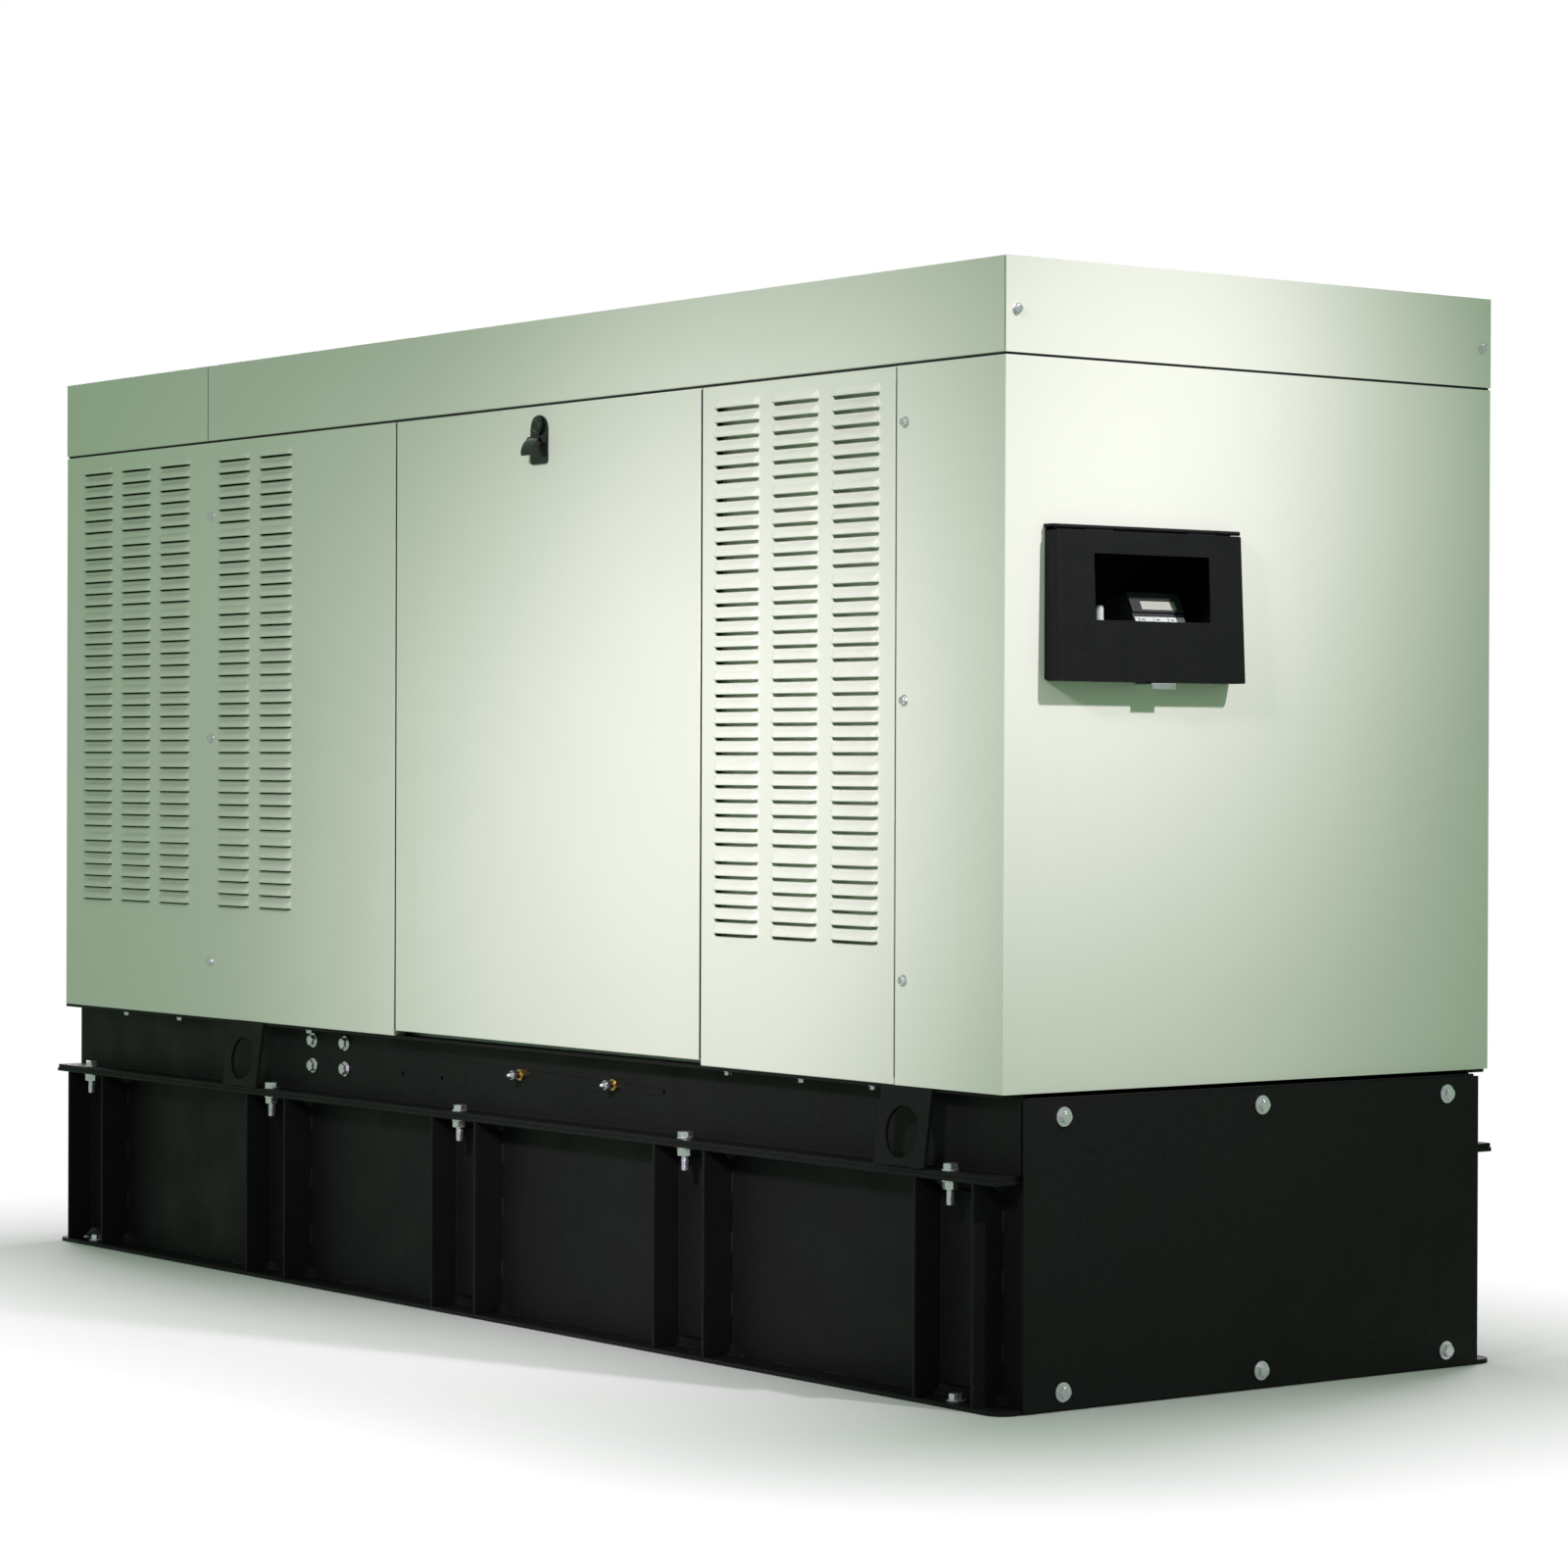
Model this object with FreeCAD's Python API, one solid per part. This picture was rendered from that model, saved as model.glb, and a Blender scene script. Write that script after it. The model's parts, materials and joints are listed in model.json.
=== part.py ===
"""Standby generator set: weather enclosure, skid frame and sub-base fuel tank.

Row frame, millimetres: origin on the floor at the centre of the tank footprint,
+X along the length towards the control end, +Z up, front door on the -Y side.
"""
import FreeCAD
import Part

import math
import os

V = FreeCAD.Vector
X = V(1, 0, 0)
Y = V(0, 1, 0)
Z = V(0, 0, 1)

# ---------------------------------------------------------------- driving dimensions
HALF_LENGTH = 1284.4        # enclosure, along X
HALF_WIDTH = 444.5          # enclosure, along Y
SHEET = 2.0                 # enclosure sheet
PANEL_BOTTOM = 414.6
PANEL_TOP = 1370.6
ROOF_SKIRT = 1374.0
ROOF_TOP = 1499.0

TANK_WALL = 404.0           # outer face of the tank sides, from the centre plane
TANK_PLATE = 6.0            # bottom and top plates
TANK_TOP = 303.0
FLANGE = 455.0              # outer edge of the tank flanges
FLANGE_END_LEFT = -1294.0
FLANGE_END_RIGHT = 1290.0
BULKHEAD_X = 980.0          # tank ends here, the stub-up space is beyond
STUB_UP = (1000.0, 1270.0, 380.0)

RAIL_WEB = 411.0            # outer face of the frame rail's web
RAIL_TOP = 414.6
RAIL_LIP = 441.0            # outer edge of the rail's top flange
RAIL_ENDS = (-1290.0, 1280.0)
RAIL_THICK = 5.0
RAIL_FLANGE = 6.0

STIFFENER_X = (-1194.0, -577.0, -13.0, 577.0, 1173.0)
STIFFENER_WIDTH = 126.0
ANCHOR_Y = 430.0
ANCHOR_R = 9.0

LIFT_X = (-650.5, 1086.5)
LIFT_WIDTH = 107.0
LIFT_HOLE_R = 34.5
LIFT_HOLE_Z = 354.0
LIFT_PLATE = 6.0

DOOR = (-194.9, 614.0, 422.5, 1370.6)      # x from, x to, z from, z to
PAN_DEPTH = 22.0            # turned edges of the panels and doors
LEFT_PANEL_END = -197.4
RIGHT_PANEL = (616.7, 1056.0)
CORNER_RETURN = 1057.6
ROOF_SEAM = -787.0

LOUVRE_WIDTH = 101.0
LOUVRE_PITCH = 20.2
LOUVRE_GROUP = 126.8
LOUVRE_TOP = 1338.5
LOUVRES_IN_GROUP = 6
LOUVRE_GROUPS = 6
LOUVRE_PROUD = 8.0
LEFT_COLUMNS = (-1166.0, -1032.0, -897.0, -697.0, -562.5)
RIGHT_COLUMNS = (701.3, 836.3, 971.0)
END_COLUMNS = (-267.0, 0.0, 267.0)

CRANK_Z = 680.0
FAN_Z = 880.0
ALTERNATOR_AXIS = (-215.0, 860.0)
BELT_X = -362.0
SHAFT_R = 30.0
RUNNING = 0.05              # radial clearance of a running fit

LATCH_X = 207.0
LATCH_PIVOT = (450.5, 1320.4)               # distance from the centre plane, height
LOCK_Z = 1341.0
CAM_Y = -408.0              # front face of the cam, just behind the frame's lip

LID_Y = (-380.0, -52.5)
LID_Z = (950.0, 1147.0)
LID_PROUD = (25.0, 35.0)                    # at the top and at the bottom
LID_PIN = (1303.0, 1151.0)                  # x, z
LID_PIN_R = 1.5
WINDOW_Y = (-316.0, -114.0)
WINDOW_Z = (1030.0, 1117.0)
TUB_OUTER_Y = (-368.0, -65.0)
TUB_OUTER_Z = (962.0, 1141.0)
TUB_WALL = 3.0
TUB_BACK = 1165.0
BODY_KNUCKLES = ((-376.0, -328.0), (-277.0, -149.0), (-96.0, -54.0))
LID_KNUCKLES = ((-327.0, -278.0), (-148.0, -97.0))
TAB_Y = (-221.0, -179.0)                    # padlock tab under the lid
TAB_TOP = 949.0
TAB_END = 1318.4                            # level with the lid's foot
PADLOCK_HOLE = (1306.0, 4.0)                # x, radius
LID_CORNER = 6.0                            # outer edges of the lid, all four

CONTROLLER_Y = (-200.0, -109.0)
CONTROLLER_TOP = (1240.0, 1070.0)           # x, z of the top front edge
CONTROLLER_SLOPE = math.radians(27.8)       # of the face, from the vertical
BUTTON_Y = (-186.0, -160.0, -134.0)

FLANGE_BOLT_Y = 441.0
FLANGE_BOLTS = [(x, side * FLANGE_BOLT_Y) for x in STIFFENER_X for side in (-1, 1)]
ANCHORS = [(STIFFENER_X[i], side * ANCHOR_Y) for i in (1, 3) for side in (-1, 1)]
SHIPPING_BOLTS = [(STIFFENER_X[i], side * ANCHOR_Y) for i in (0, 4) for side in (-1, 1)]
END_PLATE_BOLTS = [(y, z) for y in (-350.0, 1.5, 353.0) for z in (25.0, 383.5)]
CROSS_MEMBERS = (-572.0, -280.0, 230.0, 720.0, 925.0)
FILLER = (520.0, -350.0, 30.0, 25.0, 520.0)     # x, y, outer r, inner r, top z
GRILLE = (-1205.0, -865.0, 330.0)           # x from, x to, half width
GRILLE_BARS = 20
FRAME_LIP_Y = (-413.0, -410.0)              # lip round each door opening


# ---------------------------------------------------------------- helpers
def box(x0, x1, y0, y1, z0, z1):
    """A box from its lowest and highest coordinates."""
    return Part.makeBox(x1 - x0, y1 - y0, z1 - z0, V(x0, y0, z0))


def cyl(r, at, axis, length):
    """A cylinder that starts at a point and runs along an axis."""
    return Part.makeCylinder(r, length, V(*at), axis)


def ring(r_out, r_in, at, axis, length):
    return cyl(r_out, at, axis, length).cut(cyl(r_in, at, axis, length))


def face(points):
    corners = [V(*p) for p in points]
    return Part.Face(Part.makePolygon(corners + corners[:1]))


def profile_x(points, x0, x1):
    """A prism along X from a closed outline of (y, z) points."""
    return face([(x0, y, z) for y, z in points]).extrude(V(x1 - x0, 0, 0))


def profile_y(points, y0, y1):
    """A prism along Y from a closed outline of (x, z) points."""
    return face([(x, y0, z) for x, z in points]).extrude(V(0, y1 - y0, 0))


def profile_z(points, z0, z1):
    """A prism along Z from a closed outline of (x, y) points."""
    return face([(x, y, z0) for x, y in points]).extrude(V(0, 0, z1 - z0))


def join(first, *rest):
    return first.multiFuse(list(rest)).removeSplitter() if rest else first


def to_back(shape):
    """The same piece on the other long side."""
    return shape.mirror(V(0, 0, 0), Y)


def both_sides(shapes):
    return Part.makeCompound(list(shapes) + [to_back(s) for s in shapes])


def hexagon(across_flats, at, axis, length):
    radius = across_flats / math.sqrt(3)
    points = [V(radius * math.cos(math.radians(60 * i)), radius * math.sin(math.radians(60 * i)), 0)
              for i in range(6)]
    prism = Part.Face(Part.makePolygon(points + points[:1])).extrude(V(0, 0, length))
    prism.Placement = FreeCAD.Placement(V(*at), FreeCAD.Rotation(Z, axis))
    return prism


def flanged_head(at, axis, across_flats=10.0, height=5.0, washer_r=8.0, washer=1.5):
    """A hex head with its washer face, standing on a surface point."""
    start = V(*at)
    head_at = start + axis * washer
    return cyl(washer_r, start, axis, washer).fuse(hexagon(across_flats, head_at, axis, height))


def bent_rod(points, radius, bend):
    """A round bar along straight runs joined by tangent arcs."""
    corners = [V(*p) for p in points]
    edges = []
    start = corners[0]
    for before, corner, after in zip(corners, corners[1:], corners[2:]):
        to_before = (before - corner).normalize()
        to_after = (after - corner).normalize()
        half = to_before.getAngle(to_after) / 2
        reach = bend / math.tan(half)
        into = corner + to_before * reach
        out = corner + to_after * reach
        inward = (to_before + to_after).normalize()
        middle = corner + inward * (bend / math.sin(half) - bend)
        edges.append(Part.LineSegment(start, into).toShape())
        edges.append(Part.Arc(into, middle, out).toShape())
        start = out
    edges.append(Part.LineSegment(start, corners[-1]).toShape())
    path = Part.Wire(edges)
    along = (corners[1] - corners[0]).normalize()
    circle = Part.Wire([Part.Circle(corners[0], along, radius).toShape()])
    return path.makePipeShell([circle], True, True)


def belt_face(circles, x):
    """The area inside a belt that runs round (y, z, radius) circles, listed anticlockwise."""
    tangents = []
    for (ya, za, ra), (yb, zb, rb) in zip(circles, circles[1:] + circles[:1]):
        run = V(0, yb - ya, zb - za)
        tilt = math.asin((ra - rb) / run.Length)
        along = V(run).normalize()
        outward = V(0, along.z, -along.y)
        normal = along * math.sin(tilt) + outward * math.cos(tilt)
        tangents.append((V(x, ya, za) + normal * ra, V(x, yb, zb) + normal * rb, normal))
    edges = []
    for index, (start, end, normal) in enumerate(tangents):
        edges.append(Part.LineSegment(start, end).toShape())
        following = tangents[(index + 1) % len(tangents)]
        centre_y, centre_z, radius = circles[(index + 1) % len(circles)]
        middle = V(x, centre_y, centre_z) + (normal + following[2]).normalize() * radius
        edges.append(Part.Arc(end, middle, following[0]).toShape())
    return Part.Face(Part.Wire(edges))


# ---------------------------------------------------------------- louvred sheets
def louvre_solid(x, z, outer_y):
    """The wedge that one pressed louvre adds outside the sheet, its open edge down."""
    half = LOUVRE_WIDTH / 2
    lip = half - 7
    top = z + 13
    y = outer_y - LOUVRE_PROUD
    points = [V(x - half, outer_y, z), V(x + half, outer_y, z), V(x + lip, y, z), V(x - lip, y, z),
              V(x - half + 4, outer_y, top), V(x + half - 4, outer_y, top)]
    faces = ((0, 1, 2, 3), (3, 2, 5, 4), (0, 3, 4), (1, 5, 2), (0, 4, 5, 1))
    shell = Part.makeShell([face([tuple(points[i]) for i in corner]) for corner in faces])
    solid = Part.makeSolid(shell)
    if solid.Volume < 0:
        solid.reverse()
    return solid


def louvre_slot(x, z, outer_y):
    """The air path through the sheet and up behind the lip of one louvre."""
    lip_inside = outer_y - LOUVRE_PROUD + 1.6
    outline = [(outer_y + 3, z - 5), (outer_y + 3, z + 9.5), (outer_y, z + 9.5),
               (lip_inside, z), (lip_inside, z - 5)]
    return profile_x(outline, x - LOUVRE_WIDTH / 2 + 8, x + LOUVRE_WIDTH / 2 - 8)


def louvred(sheet, columns, outer_y):
    """Adds louvres in groups down each column of a sheet that faces -Y."""
    places = [(x, LOUVRE_TOP - LOUVRE_GROUP * group - LOUVRE_PITCH * row)
              for x in columns for group in range(LOUVRE_GROUPS) for row in range(LOUVRES_IN_GROUP)]
    whole = sheet.fuse([louvre_solid(x, z, outer_y) for x, z in places])
    return whole.cut(Part.makeCompound([louvre_slot(x, z, outer_y) for x, z in places]))


def pan(x0, x1, z0, z1):
    """A front sheet with four edges turned inwards."""
    outer = -HALF_WIDTH
    inner = outer + PAN_DEPTH
    return join(box(x0, x1, outer, outer + SHEET, z0, z1),
                box(x0, x1, outer, inner, z0, z0 + SHEET), box(x0, x1, outer, inner, z1 - SHEET, z1),
                box(x0, x0 + SHEET, outer, inner, z0, z1), box(x1 - SHEET, x1, outer, inner, z0, z1))


# ---------------------------------------------------------------- tank
def stub_up_cut(z0, z1):
    x0, x1, half = STUB_UP
    return box(x0, x1, -half, half, z0, z1)


def vertical_holes(places, r, z0, z1):
    return Part.makeCompound([cyl(r, (x, y, z0), Z, z1 - z0) for x, y in places])


def tank_bottom_plate():
    plate = box(FLANGE_END_LEFT, FLANGE_END_RIGHT, -FLANGE, FLANGE, 0, TANK_PLATE)
    corners = [edge for edge in plate.Edges
               if abs(edge.tangentAt(edge.FirstParameter).z) > 0.9]
    plate = plate.makeFillet(25.0, corners)
    plate = plate.cut(stub_up_cut(-1, TANK_PLATE + 1))
    return plate.cut(vertical_holes(ANCHORS, ANCHOR_R, -1, TANK_PLATE + 1))


def tank_walls():
    wall = 4.0
    low, high = TANK_PLATE, TANK_TOP - TANK_PLATE
    inside = TANK_WALL - wall
    sides = both_sides([box(-1286, FLANGE_END_RIGHT - 6, -TANK_WALL, -inside, low, high)])
    left_end = box(-1286, -1282, -inside, inside, low, high)
    bulkhead = box(BULKHEAD_X - wall, BULKHEAD_X, -inside, inside, low, high)
    return Part.makeCompound(sides.Solids + [left_end, bulkhead])


def tank_top_plate():
    x, y, r_out, r_in, top = FILLER
    plate = box(FLANGE_END_LEFT, FLANGE_END_RIGHT - 8, -FLANGE, FLANGE, TANK_TOP - TANK_PLATE, TANK_TOP)
    plate = plate.cut(stub_up_cut(TANK_TOP - 10, TANK_TOP + 1))
    plate = plate.cut(vertical_holes(FLANGE_BOLTS, 6.5, TANK_TOP - 10, TANK_TOP + 1))
    plate = plate.fuse(cyl(r_out, (x, y, TANK_TOP - TANK_PLATE), Z, top - TANK_TOP + TANK_PLATE))
    return plate.cut(cyl(r_in, (x, y, TANK_TOP - 10), Z, top))


def tank_stiffeners():
    """Channels open to the outside, their legs notched for the welds at the tank wall."""
    low, high = TANK_PLATE, TANK_TOP - TANK_PLATE
    back, front = -TANK_WALL, -FLANGE + 1
    thick = 5.0
    notch = 16.0
    inner = back - thick
    foot, head = low + notch, high - notch
    leg = [(inner - notch, low), (inner, foot), (back, foot + thick), (back, head - thick),
           (inner, head), (inner - notch, high), (front, high), (front, low)]
    channels = []
    for x in STIFFENER_X:
        x0, x1 = x - STIFFENER_WIDTH / 2, x + STIFFENER_WIDTH / 2
        web = box(x0, x1, inner, back, low + notch, high - notch)
        channels.append(join(web, profile_x(leg, x0, x0 + thick), profile_x(leg, x1 - thick, x1)))
    return both_sides(channels)


def end_plate():
    plate = box(1290, 1293.5, -416, 416, 2, 406)
    return plate.cut(Part.makeCompound([cyl(5.5, (1280, y, z), X, 20) for y, z in END_PLATE_BOLTS]))


# ---------------------------------------------------------------- skid frame
def base_frame():
    """Two outward channels, tubular cross members, a battery tray and the end frame."""
    x0, x1 = RAIL_ENDS
    web_in = -RAIL_WEB + RAIL_THICK
    rail = join(box(x0, x1, -RAIL_WEB, web_in, TANK_TOP, RAIL_TOP),
                box(x0, x1, -RAIL_LIP, web_in, RAIL_TOP - RAIL_THICK, RAIL_TOP),
                box(x0, x1, -FLANGE, web_in, TANK_TOP, TANK_TOP + RAIL_FLANGE))
    rail = rail.cut(vertical_holes(FLANGE_BOLTS, 6.5, TANK_TOP - 1, TANK_TOP + RAIL_FLANGE + 1))
    small_holes = [(-225.0, 352.0), (-111.0, 351.5), (481.6, 367.0)]
    rail = rail.cut(Part.makeCompound([cyl(3.5, (x, -RAIL_WEB - 1, z), Y, 10) for x, z in small_holes]))
    members = []
    half = -web_in
    for x in CROSS_MEMBERS:
        tube = box(x - 30, x + 30, -half, half, 349, 409)
        members.append(tube.cut(box(x - 26, x + 26, -half, half, 353, 405)))
    tray = box(640, 945, 225, half, 409, 413)
    frame_outer = box(1284, 1290, -RAIL_WEB, RAIL_WEB, TANK_PLATE, 409)
    frame_inner = box(1284, 1290, -330, 330, 45, 360)
    end_frame = frame_outer.cut(frame_inner)
    end_frame = end_frame.cut(Part.makeCompound([cyl(5.3, (1280, y, z), X, 20) for y, z in END_PLATE_BOLTS]))
    return Part.makeCompound([rail, to_back(rail), *members, tray, end_frame])


def lifting_brackets():
    """Leaning plates from the lip of the top flange down to the tank flange."""
    top = (-RAIL_LIP, RAIL_TOP - 2)
    foot = (-FLANGE, TANK_TOP + RAIL_FLANGE)
    lean = V(0, foot[0] - top[0], foot[1] - top[1]).normalize()
    outward = V(0, lean.z, -lean.y)
    t = LIFT_PLATE
    outline = [top, (top[0] + outward.y * t, top[1] + outward.z * t),
               (foot[0] + outward.y * t, foot[1] + outward.z * t), foot]
    share = (LIFT_HOLE_Z - top[1]) / (foot[1] - top[1])
    hole_y = top[0] + (foot[0] - top[0]) * share
    plates = []
    for x in LIFT_X:
        plate = profile_x(outline, x - LIFT_WIDTH / 2, x + LIFT_WIDTH / 2)
        start = V(x, hole_y, LIFT_HOLE_Z) - outward * 10
        plates.append(plate.cut(cyl(LIFT_HOLE_R, start, outward, 40)))
    return both_sides(plates)


# ---------------------------------------------------------------- fasteners and fittings
def flange_bolts():
    """Bolts that hold the frame on the tank, with washers and nuts, and the tie-down bolts."""
    top = TANK_TOP + RAIL_FLANGE
    bottom = TANK_TOP - TANK_PLATE
    pieces = []
    for x, y in FLANGE_BOLTS:
        bolt = join(cyl(12, (x, y, top), Z, 2.5), hexagon(19, (x, y, top + 2.5), Z, 8),
                    cyl(6, (x, y, bottom - 34), Z, top - bottom + 34))
        nut = join(cyl(12, (x, y, bottom - 2.5), Z, 2.5), hexagon(19, (x, y, bottom - 12.5), Z, 10))
        pieces += [bolt, nut.cut(cyl(6 + RUNNING, (x, y, bottom - 20), Z, 30))]
    for x, y in SHIPPING_BOLTS:
        pieces.append(flanged_head((x, y, TANK_PLATE), Z, 17, 8, 14, 2.5))
    return Part.makeCompound(pieces)


def frame_bolts():
    """Bolts of the removable end plate and the engine mount bolts on each rail."""
    pieces = []
    for y, z in END_PLATE_BOLTS:
        pieces.append(join(cyl(13, (1293.5, y, z), X, 2.5), hexagon(16, (1296, y, z), X, 6.5),
                           cyl(5, (1282, y, z), X, 14)))
    for x in (-495.0, -396.0):
        for z in (350.0, 391.0):
            pieces.append(flanged_head((x, -RAIL_WEB, z), -Y, 16, 7, 12, 2.5))
            pieces.append(flanged_head((x, RAIL_WEB, z), Y, 16, 7, 12, 2.5))
    return Part.makeCompound(pieces)


def drain_fittings():
    """Oil and coolant drain fittings: a brass hex on the rail with a coned cap."""
    pieces = []
    for x in (115.0, 361.0):
        at = V(x, -RAIL_WEB, 371)
        body = join(hexagon(17, at, -Y, 7), cyl(5.5, at - Y * 7, -Y, 9), hexagon(13, at - Y * 16, -Y, 5))
        pieces.append(body.fuse(Part.makeCone(6, 2.5, 7, at - Y * 21, -Y)))
    return Part.makeCompound(pieces)


def panel_screws():
    """Small flanged hex screws of the enclosure and under the frame's top flange."""
    heads = []
    face_y = -HALF_WIDTH
    side = [(-772.0, z) for z in (1249.0, 879.6, 508.3)] + [(1077.0, z) for z in (1295.0, 926.0, 554.5)]
    for x, z in side:
        heads.append(flanged_head((x, face_y, z), -Y))
    for x in (-1091.0, -906.0, -700.0, -481.0, 661.0, 832.0, 991.0):
        heads.append(flanged_head((x, -427, RAIL_TOP - RAIL_THICK), -Z, 10, 6, 7, 1))
    for z in (1249.0, 879.6, 508.3):
        heads.append(flanged_head((-HALF_LENGTH, -424, z), -X))
    for end, axis in ((-HALF_LENGTH, -X), (HALF_LENGTH, X)):
        heads.append(flanged_head((end, -426, 1430.5), axis))
    return both_sides(heads)


# ---------------------------------------------------------------- enclosure
def side_panel():
    sheet = pan(-HALF_LENGTH, LEFT_PANEL_END, PANEL_BOTTOM, PANEL_TOP)
    return louvred(sheet, LEFT_COLUMNS, -HALF_WIDTH)


def intake_panel():
    x0, x1 = RIGHT_PANEL
    return louvred(pan(x0, x1, PANEL_BOTTOM, PANEL_TOP), RIGHT_COLUMNS, -HALF_WIDTH)


def discharge_end_panel():
    """Louvred sheet between the turned edges of the side panels at the radiator end."""
    half = HALF_WIDTH - PAN_DEPTH - 0.3
    sheet = louvred(box(-half, half, -HALF_LENGTH, -HALF_LENGTH + SHEET, PANEL_BOTTOM, PANEL_TOP),
                    END_COLUMNS, -HALF_LENGTH)
    sheet.rotate(V(0, 0, 0), Z, -90)
    return sheet


def control_end_panel():
    """C-shaped sheet with corner returns, the control box opening and the padlock tab."""
    x1 = HALF_LENGTH
    end = box(x1 - SHEET, x1, -HALF_WIDTH, HALF_WIDTH, PANEL_BOTTOM, PANEL_TOP)
    corner = box(CORNER_RETURN, x1, -HALF_WIDTH, -HALF_WIDTH + SHEET, PANEL_BOTTOM, PANEL_TOP)
    inner = -HALF_WIDTH + PAN_DEPTH
    edge = box(CORNER_RETURN, CORNER_RETURN + SHEET, -HALF_WIDTH, inner, PANEL_BOTTOM, PANEL_TOP)
    foot = box(CORNER_RETURN, x1, -HALF_WIDTH, inner, PANEL_BOTTOM, PANEL_BOTTOM + SHEET)
    tab = join(box(x1 - SHEET, TAB_END, *TAB_Y, TAB_TOP - SHEET, TAB_TOP),
               box(TAB_END - SHEET, TAB_END, *TAB_Y, TAB_TOP - 8, TAB_TOP))
    hole_x, hole_r = PADLOCK_HOLE
    tab = tab.cut(cyl(hole_r, (hole_x, sum(TAB_Y) / 2, TAB_TOP - 5), Z, 10))
    panel = join(end, corner, edge, foot, to_back(corner), to_back(edge), to_back(foot), tab)
    return panel.cut(box(x1 - 5, x1 + 1, *TUB_OUTER_Y, *TUB_OUTER_Z))


def roof_side(x0, x1):
    """One long skirt of the roof, with its inward lip."""
    outer = -HALF_WIDTH
    return join(box(x0, x1, outer, outer + SHEET, ROOF_SKIRT, ROOF_TOP),
                box(x0, x1, outer, outer + 16, ROOF_SKIRT, ROOF_SKIRT + SHEET))


def roof_main():
    x0, x1 = ROOF_SEAM + 0.8, HALF_LENGTH - SHEET
    skirt = roof_side(x0, x1)
    top = box(x0, x1, -HALF_WIDTH, HALF_WIDTH, ROOF_TOP - SHEET, ROOF_TOP)
    return join(top, skirt, to_back(skirt))


def roof_discharge():
    """Roof section over the discharge space, with a barred air opening."""
    x0, x1 = -HALF_LENGTH, ROOF_SEAM - 0.8
    skirt = roof_side(x0, x1)
    end = box(x0, x0 + SHEET, -HALF_WIDTH, HALF_WIDTH, ROOF_SKIRT, ROOF_TOP)
    top = box(x0, x1, -HALF_WIDTH, HALF_WIDTH, ROOF_TOP - SHEET, ROOF_TOP)
    gx0, gx1, half = GRILLE
    top = top.cut(box(gx0, gx1, -half, half, ROOF_TOP - 10, ROOF_TOP + 1))
    pitch = (gx1 - gx0) / GRILLE_BARS
    bars = [box(gx0 + pitch * (i + 0.5) - 2, gx0 + pitch * (i + 0.5) + 2, -half, half, ROOF_TOP - 8, ROOF_TOP)
            for i in range(GRILLE_BARS)]
    ribs = [box(gx0, gx1, y - 2, y + 2, ROOF_TOP - 12, ROOF_TOP - 1) for y in (-165.0, 0.0, 165.0)]
    return join(top, skirt, to_back(skirt), end, *bars, *ribs)


def roof_end_cap():
    x1 = HALF_LENGTH
    return join(box(x1 - SHEET, x1, -HALF_WIDTH, HALF_WIDTH, ROOF_SKIRT, ROOF_TOP),
                box(x1 - 16, x1, -HALF_WIDTH + 17, HALF_WIDTH - 17, ROOF_SKIRT, ROOF_SKIRT + SHEET))


def frame_posts():
    """Corner angles and the two rails under the roof."""
    outer_x, outer_y = HALF_LENGTH - PAN_DEPTH - 0.3, HALF_WIDTH - PAN_DEPTH - 0.3
    leg, t = 38.0, 3.0
    top = 1440.0
    pieces = []
    for x, turn in ((-outer_x, 1), (outer_x, -1)):
        far = x + turn * leg
        web = x + turn * t
        angle = [(x, -outer_y), (far, -outer_y), (far, -outer_y + t), (web, -outer_y + t),
                 (web, -outer_y + leg), (x, -outer_y + leg)]
        pieces.append(profile_z(angle, RAIL_TOP, top))
    rail_x = outer_x - leg
    pieces.append(join(box(-rail_x, rail_x, -outer_y, -outer_y + t, top - 40, top),
                       box(-rail_x, rail_x, -outer_y, -outer_y + 35, top - t, top)))
    return both_sides(pieces)


def door_frames():
    """Inward lip round each door opening, which the seal lies on and the lock cam hooks behind."""
    x0, x1 = DOOR[0] - 30, DOOR[1] + 30
    low, high = RAIL_TOP, 1372.0
    plate = box(x0, x1, *FRAME_LIP_Y, low, high)
    plate = plate.cut(box(DOOR[0] + 38, DOOR[1] - 38, -420, -400, low + 38, high - 20))
    left = box(x0, x0 + 3, -421.5, FRAME_LIP_Y[1], low, high)
    right = box(x1 - 3, x1, -421.5, FRAME_LIP_Y[1], low, high)
    return both_sides([join(plate, left, right)])


def radiator_bulkhead():
    """Partition between engine space and discharge space, open at the radiator."""
    half = 421.0
    wall = box(-612, -609, -half, half, RAIL_TOP, 1396)
    wall = wall.cut(box(-620, -600, -300, 300, 500, 1160))
    return wall.cut(cyl(36, (-620, 240, 1300), X, 20))


# ---------------------------------------------------------------- doors and latches
def door():
    """Door pan with two upright channel stiffeners inside."""
    x0, x1, z0, z1 = DOOR
    y_in = -HALF_WIDTH + SHEET
    shell = pan(x0, x1, z0, z1)
    bottom_lip = box(x0, x1, -HALF_WIDTH + PAN_DEPTH - SHEET, -HALF_WIDTH + PAN_DEPTH, z0, z0 + 18)
    ribs = []
    for rib_x in (x0 + 60, x1 - 100):
        rib = box(rib_x, rib_x + 40, y_in, y_in + 14, z0 + 40, z1 - 60)
        ribs.append(rib.cut(box(rib_x + SHEET, rib_x + 38, y_in, y_in + 12, z0, z1)))
    shell = join(shell, bottom_lip, *ribs)
    return shell.cut(cyl(9.5, (LATCH_X, -HALF_WIDTH - 1, LOCK_Z), Y, 10))


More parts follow.
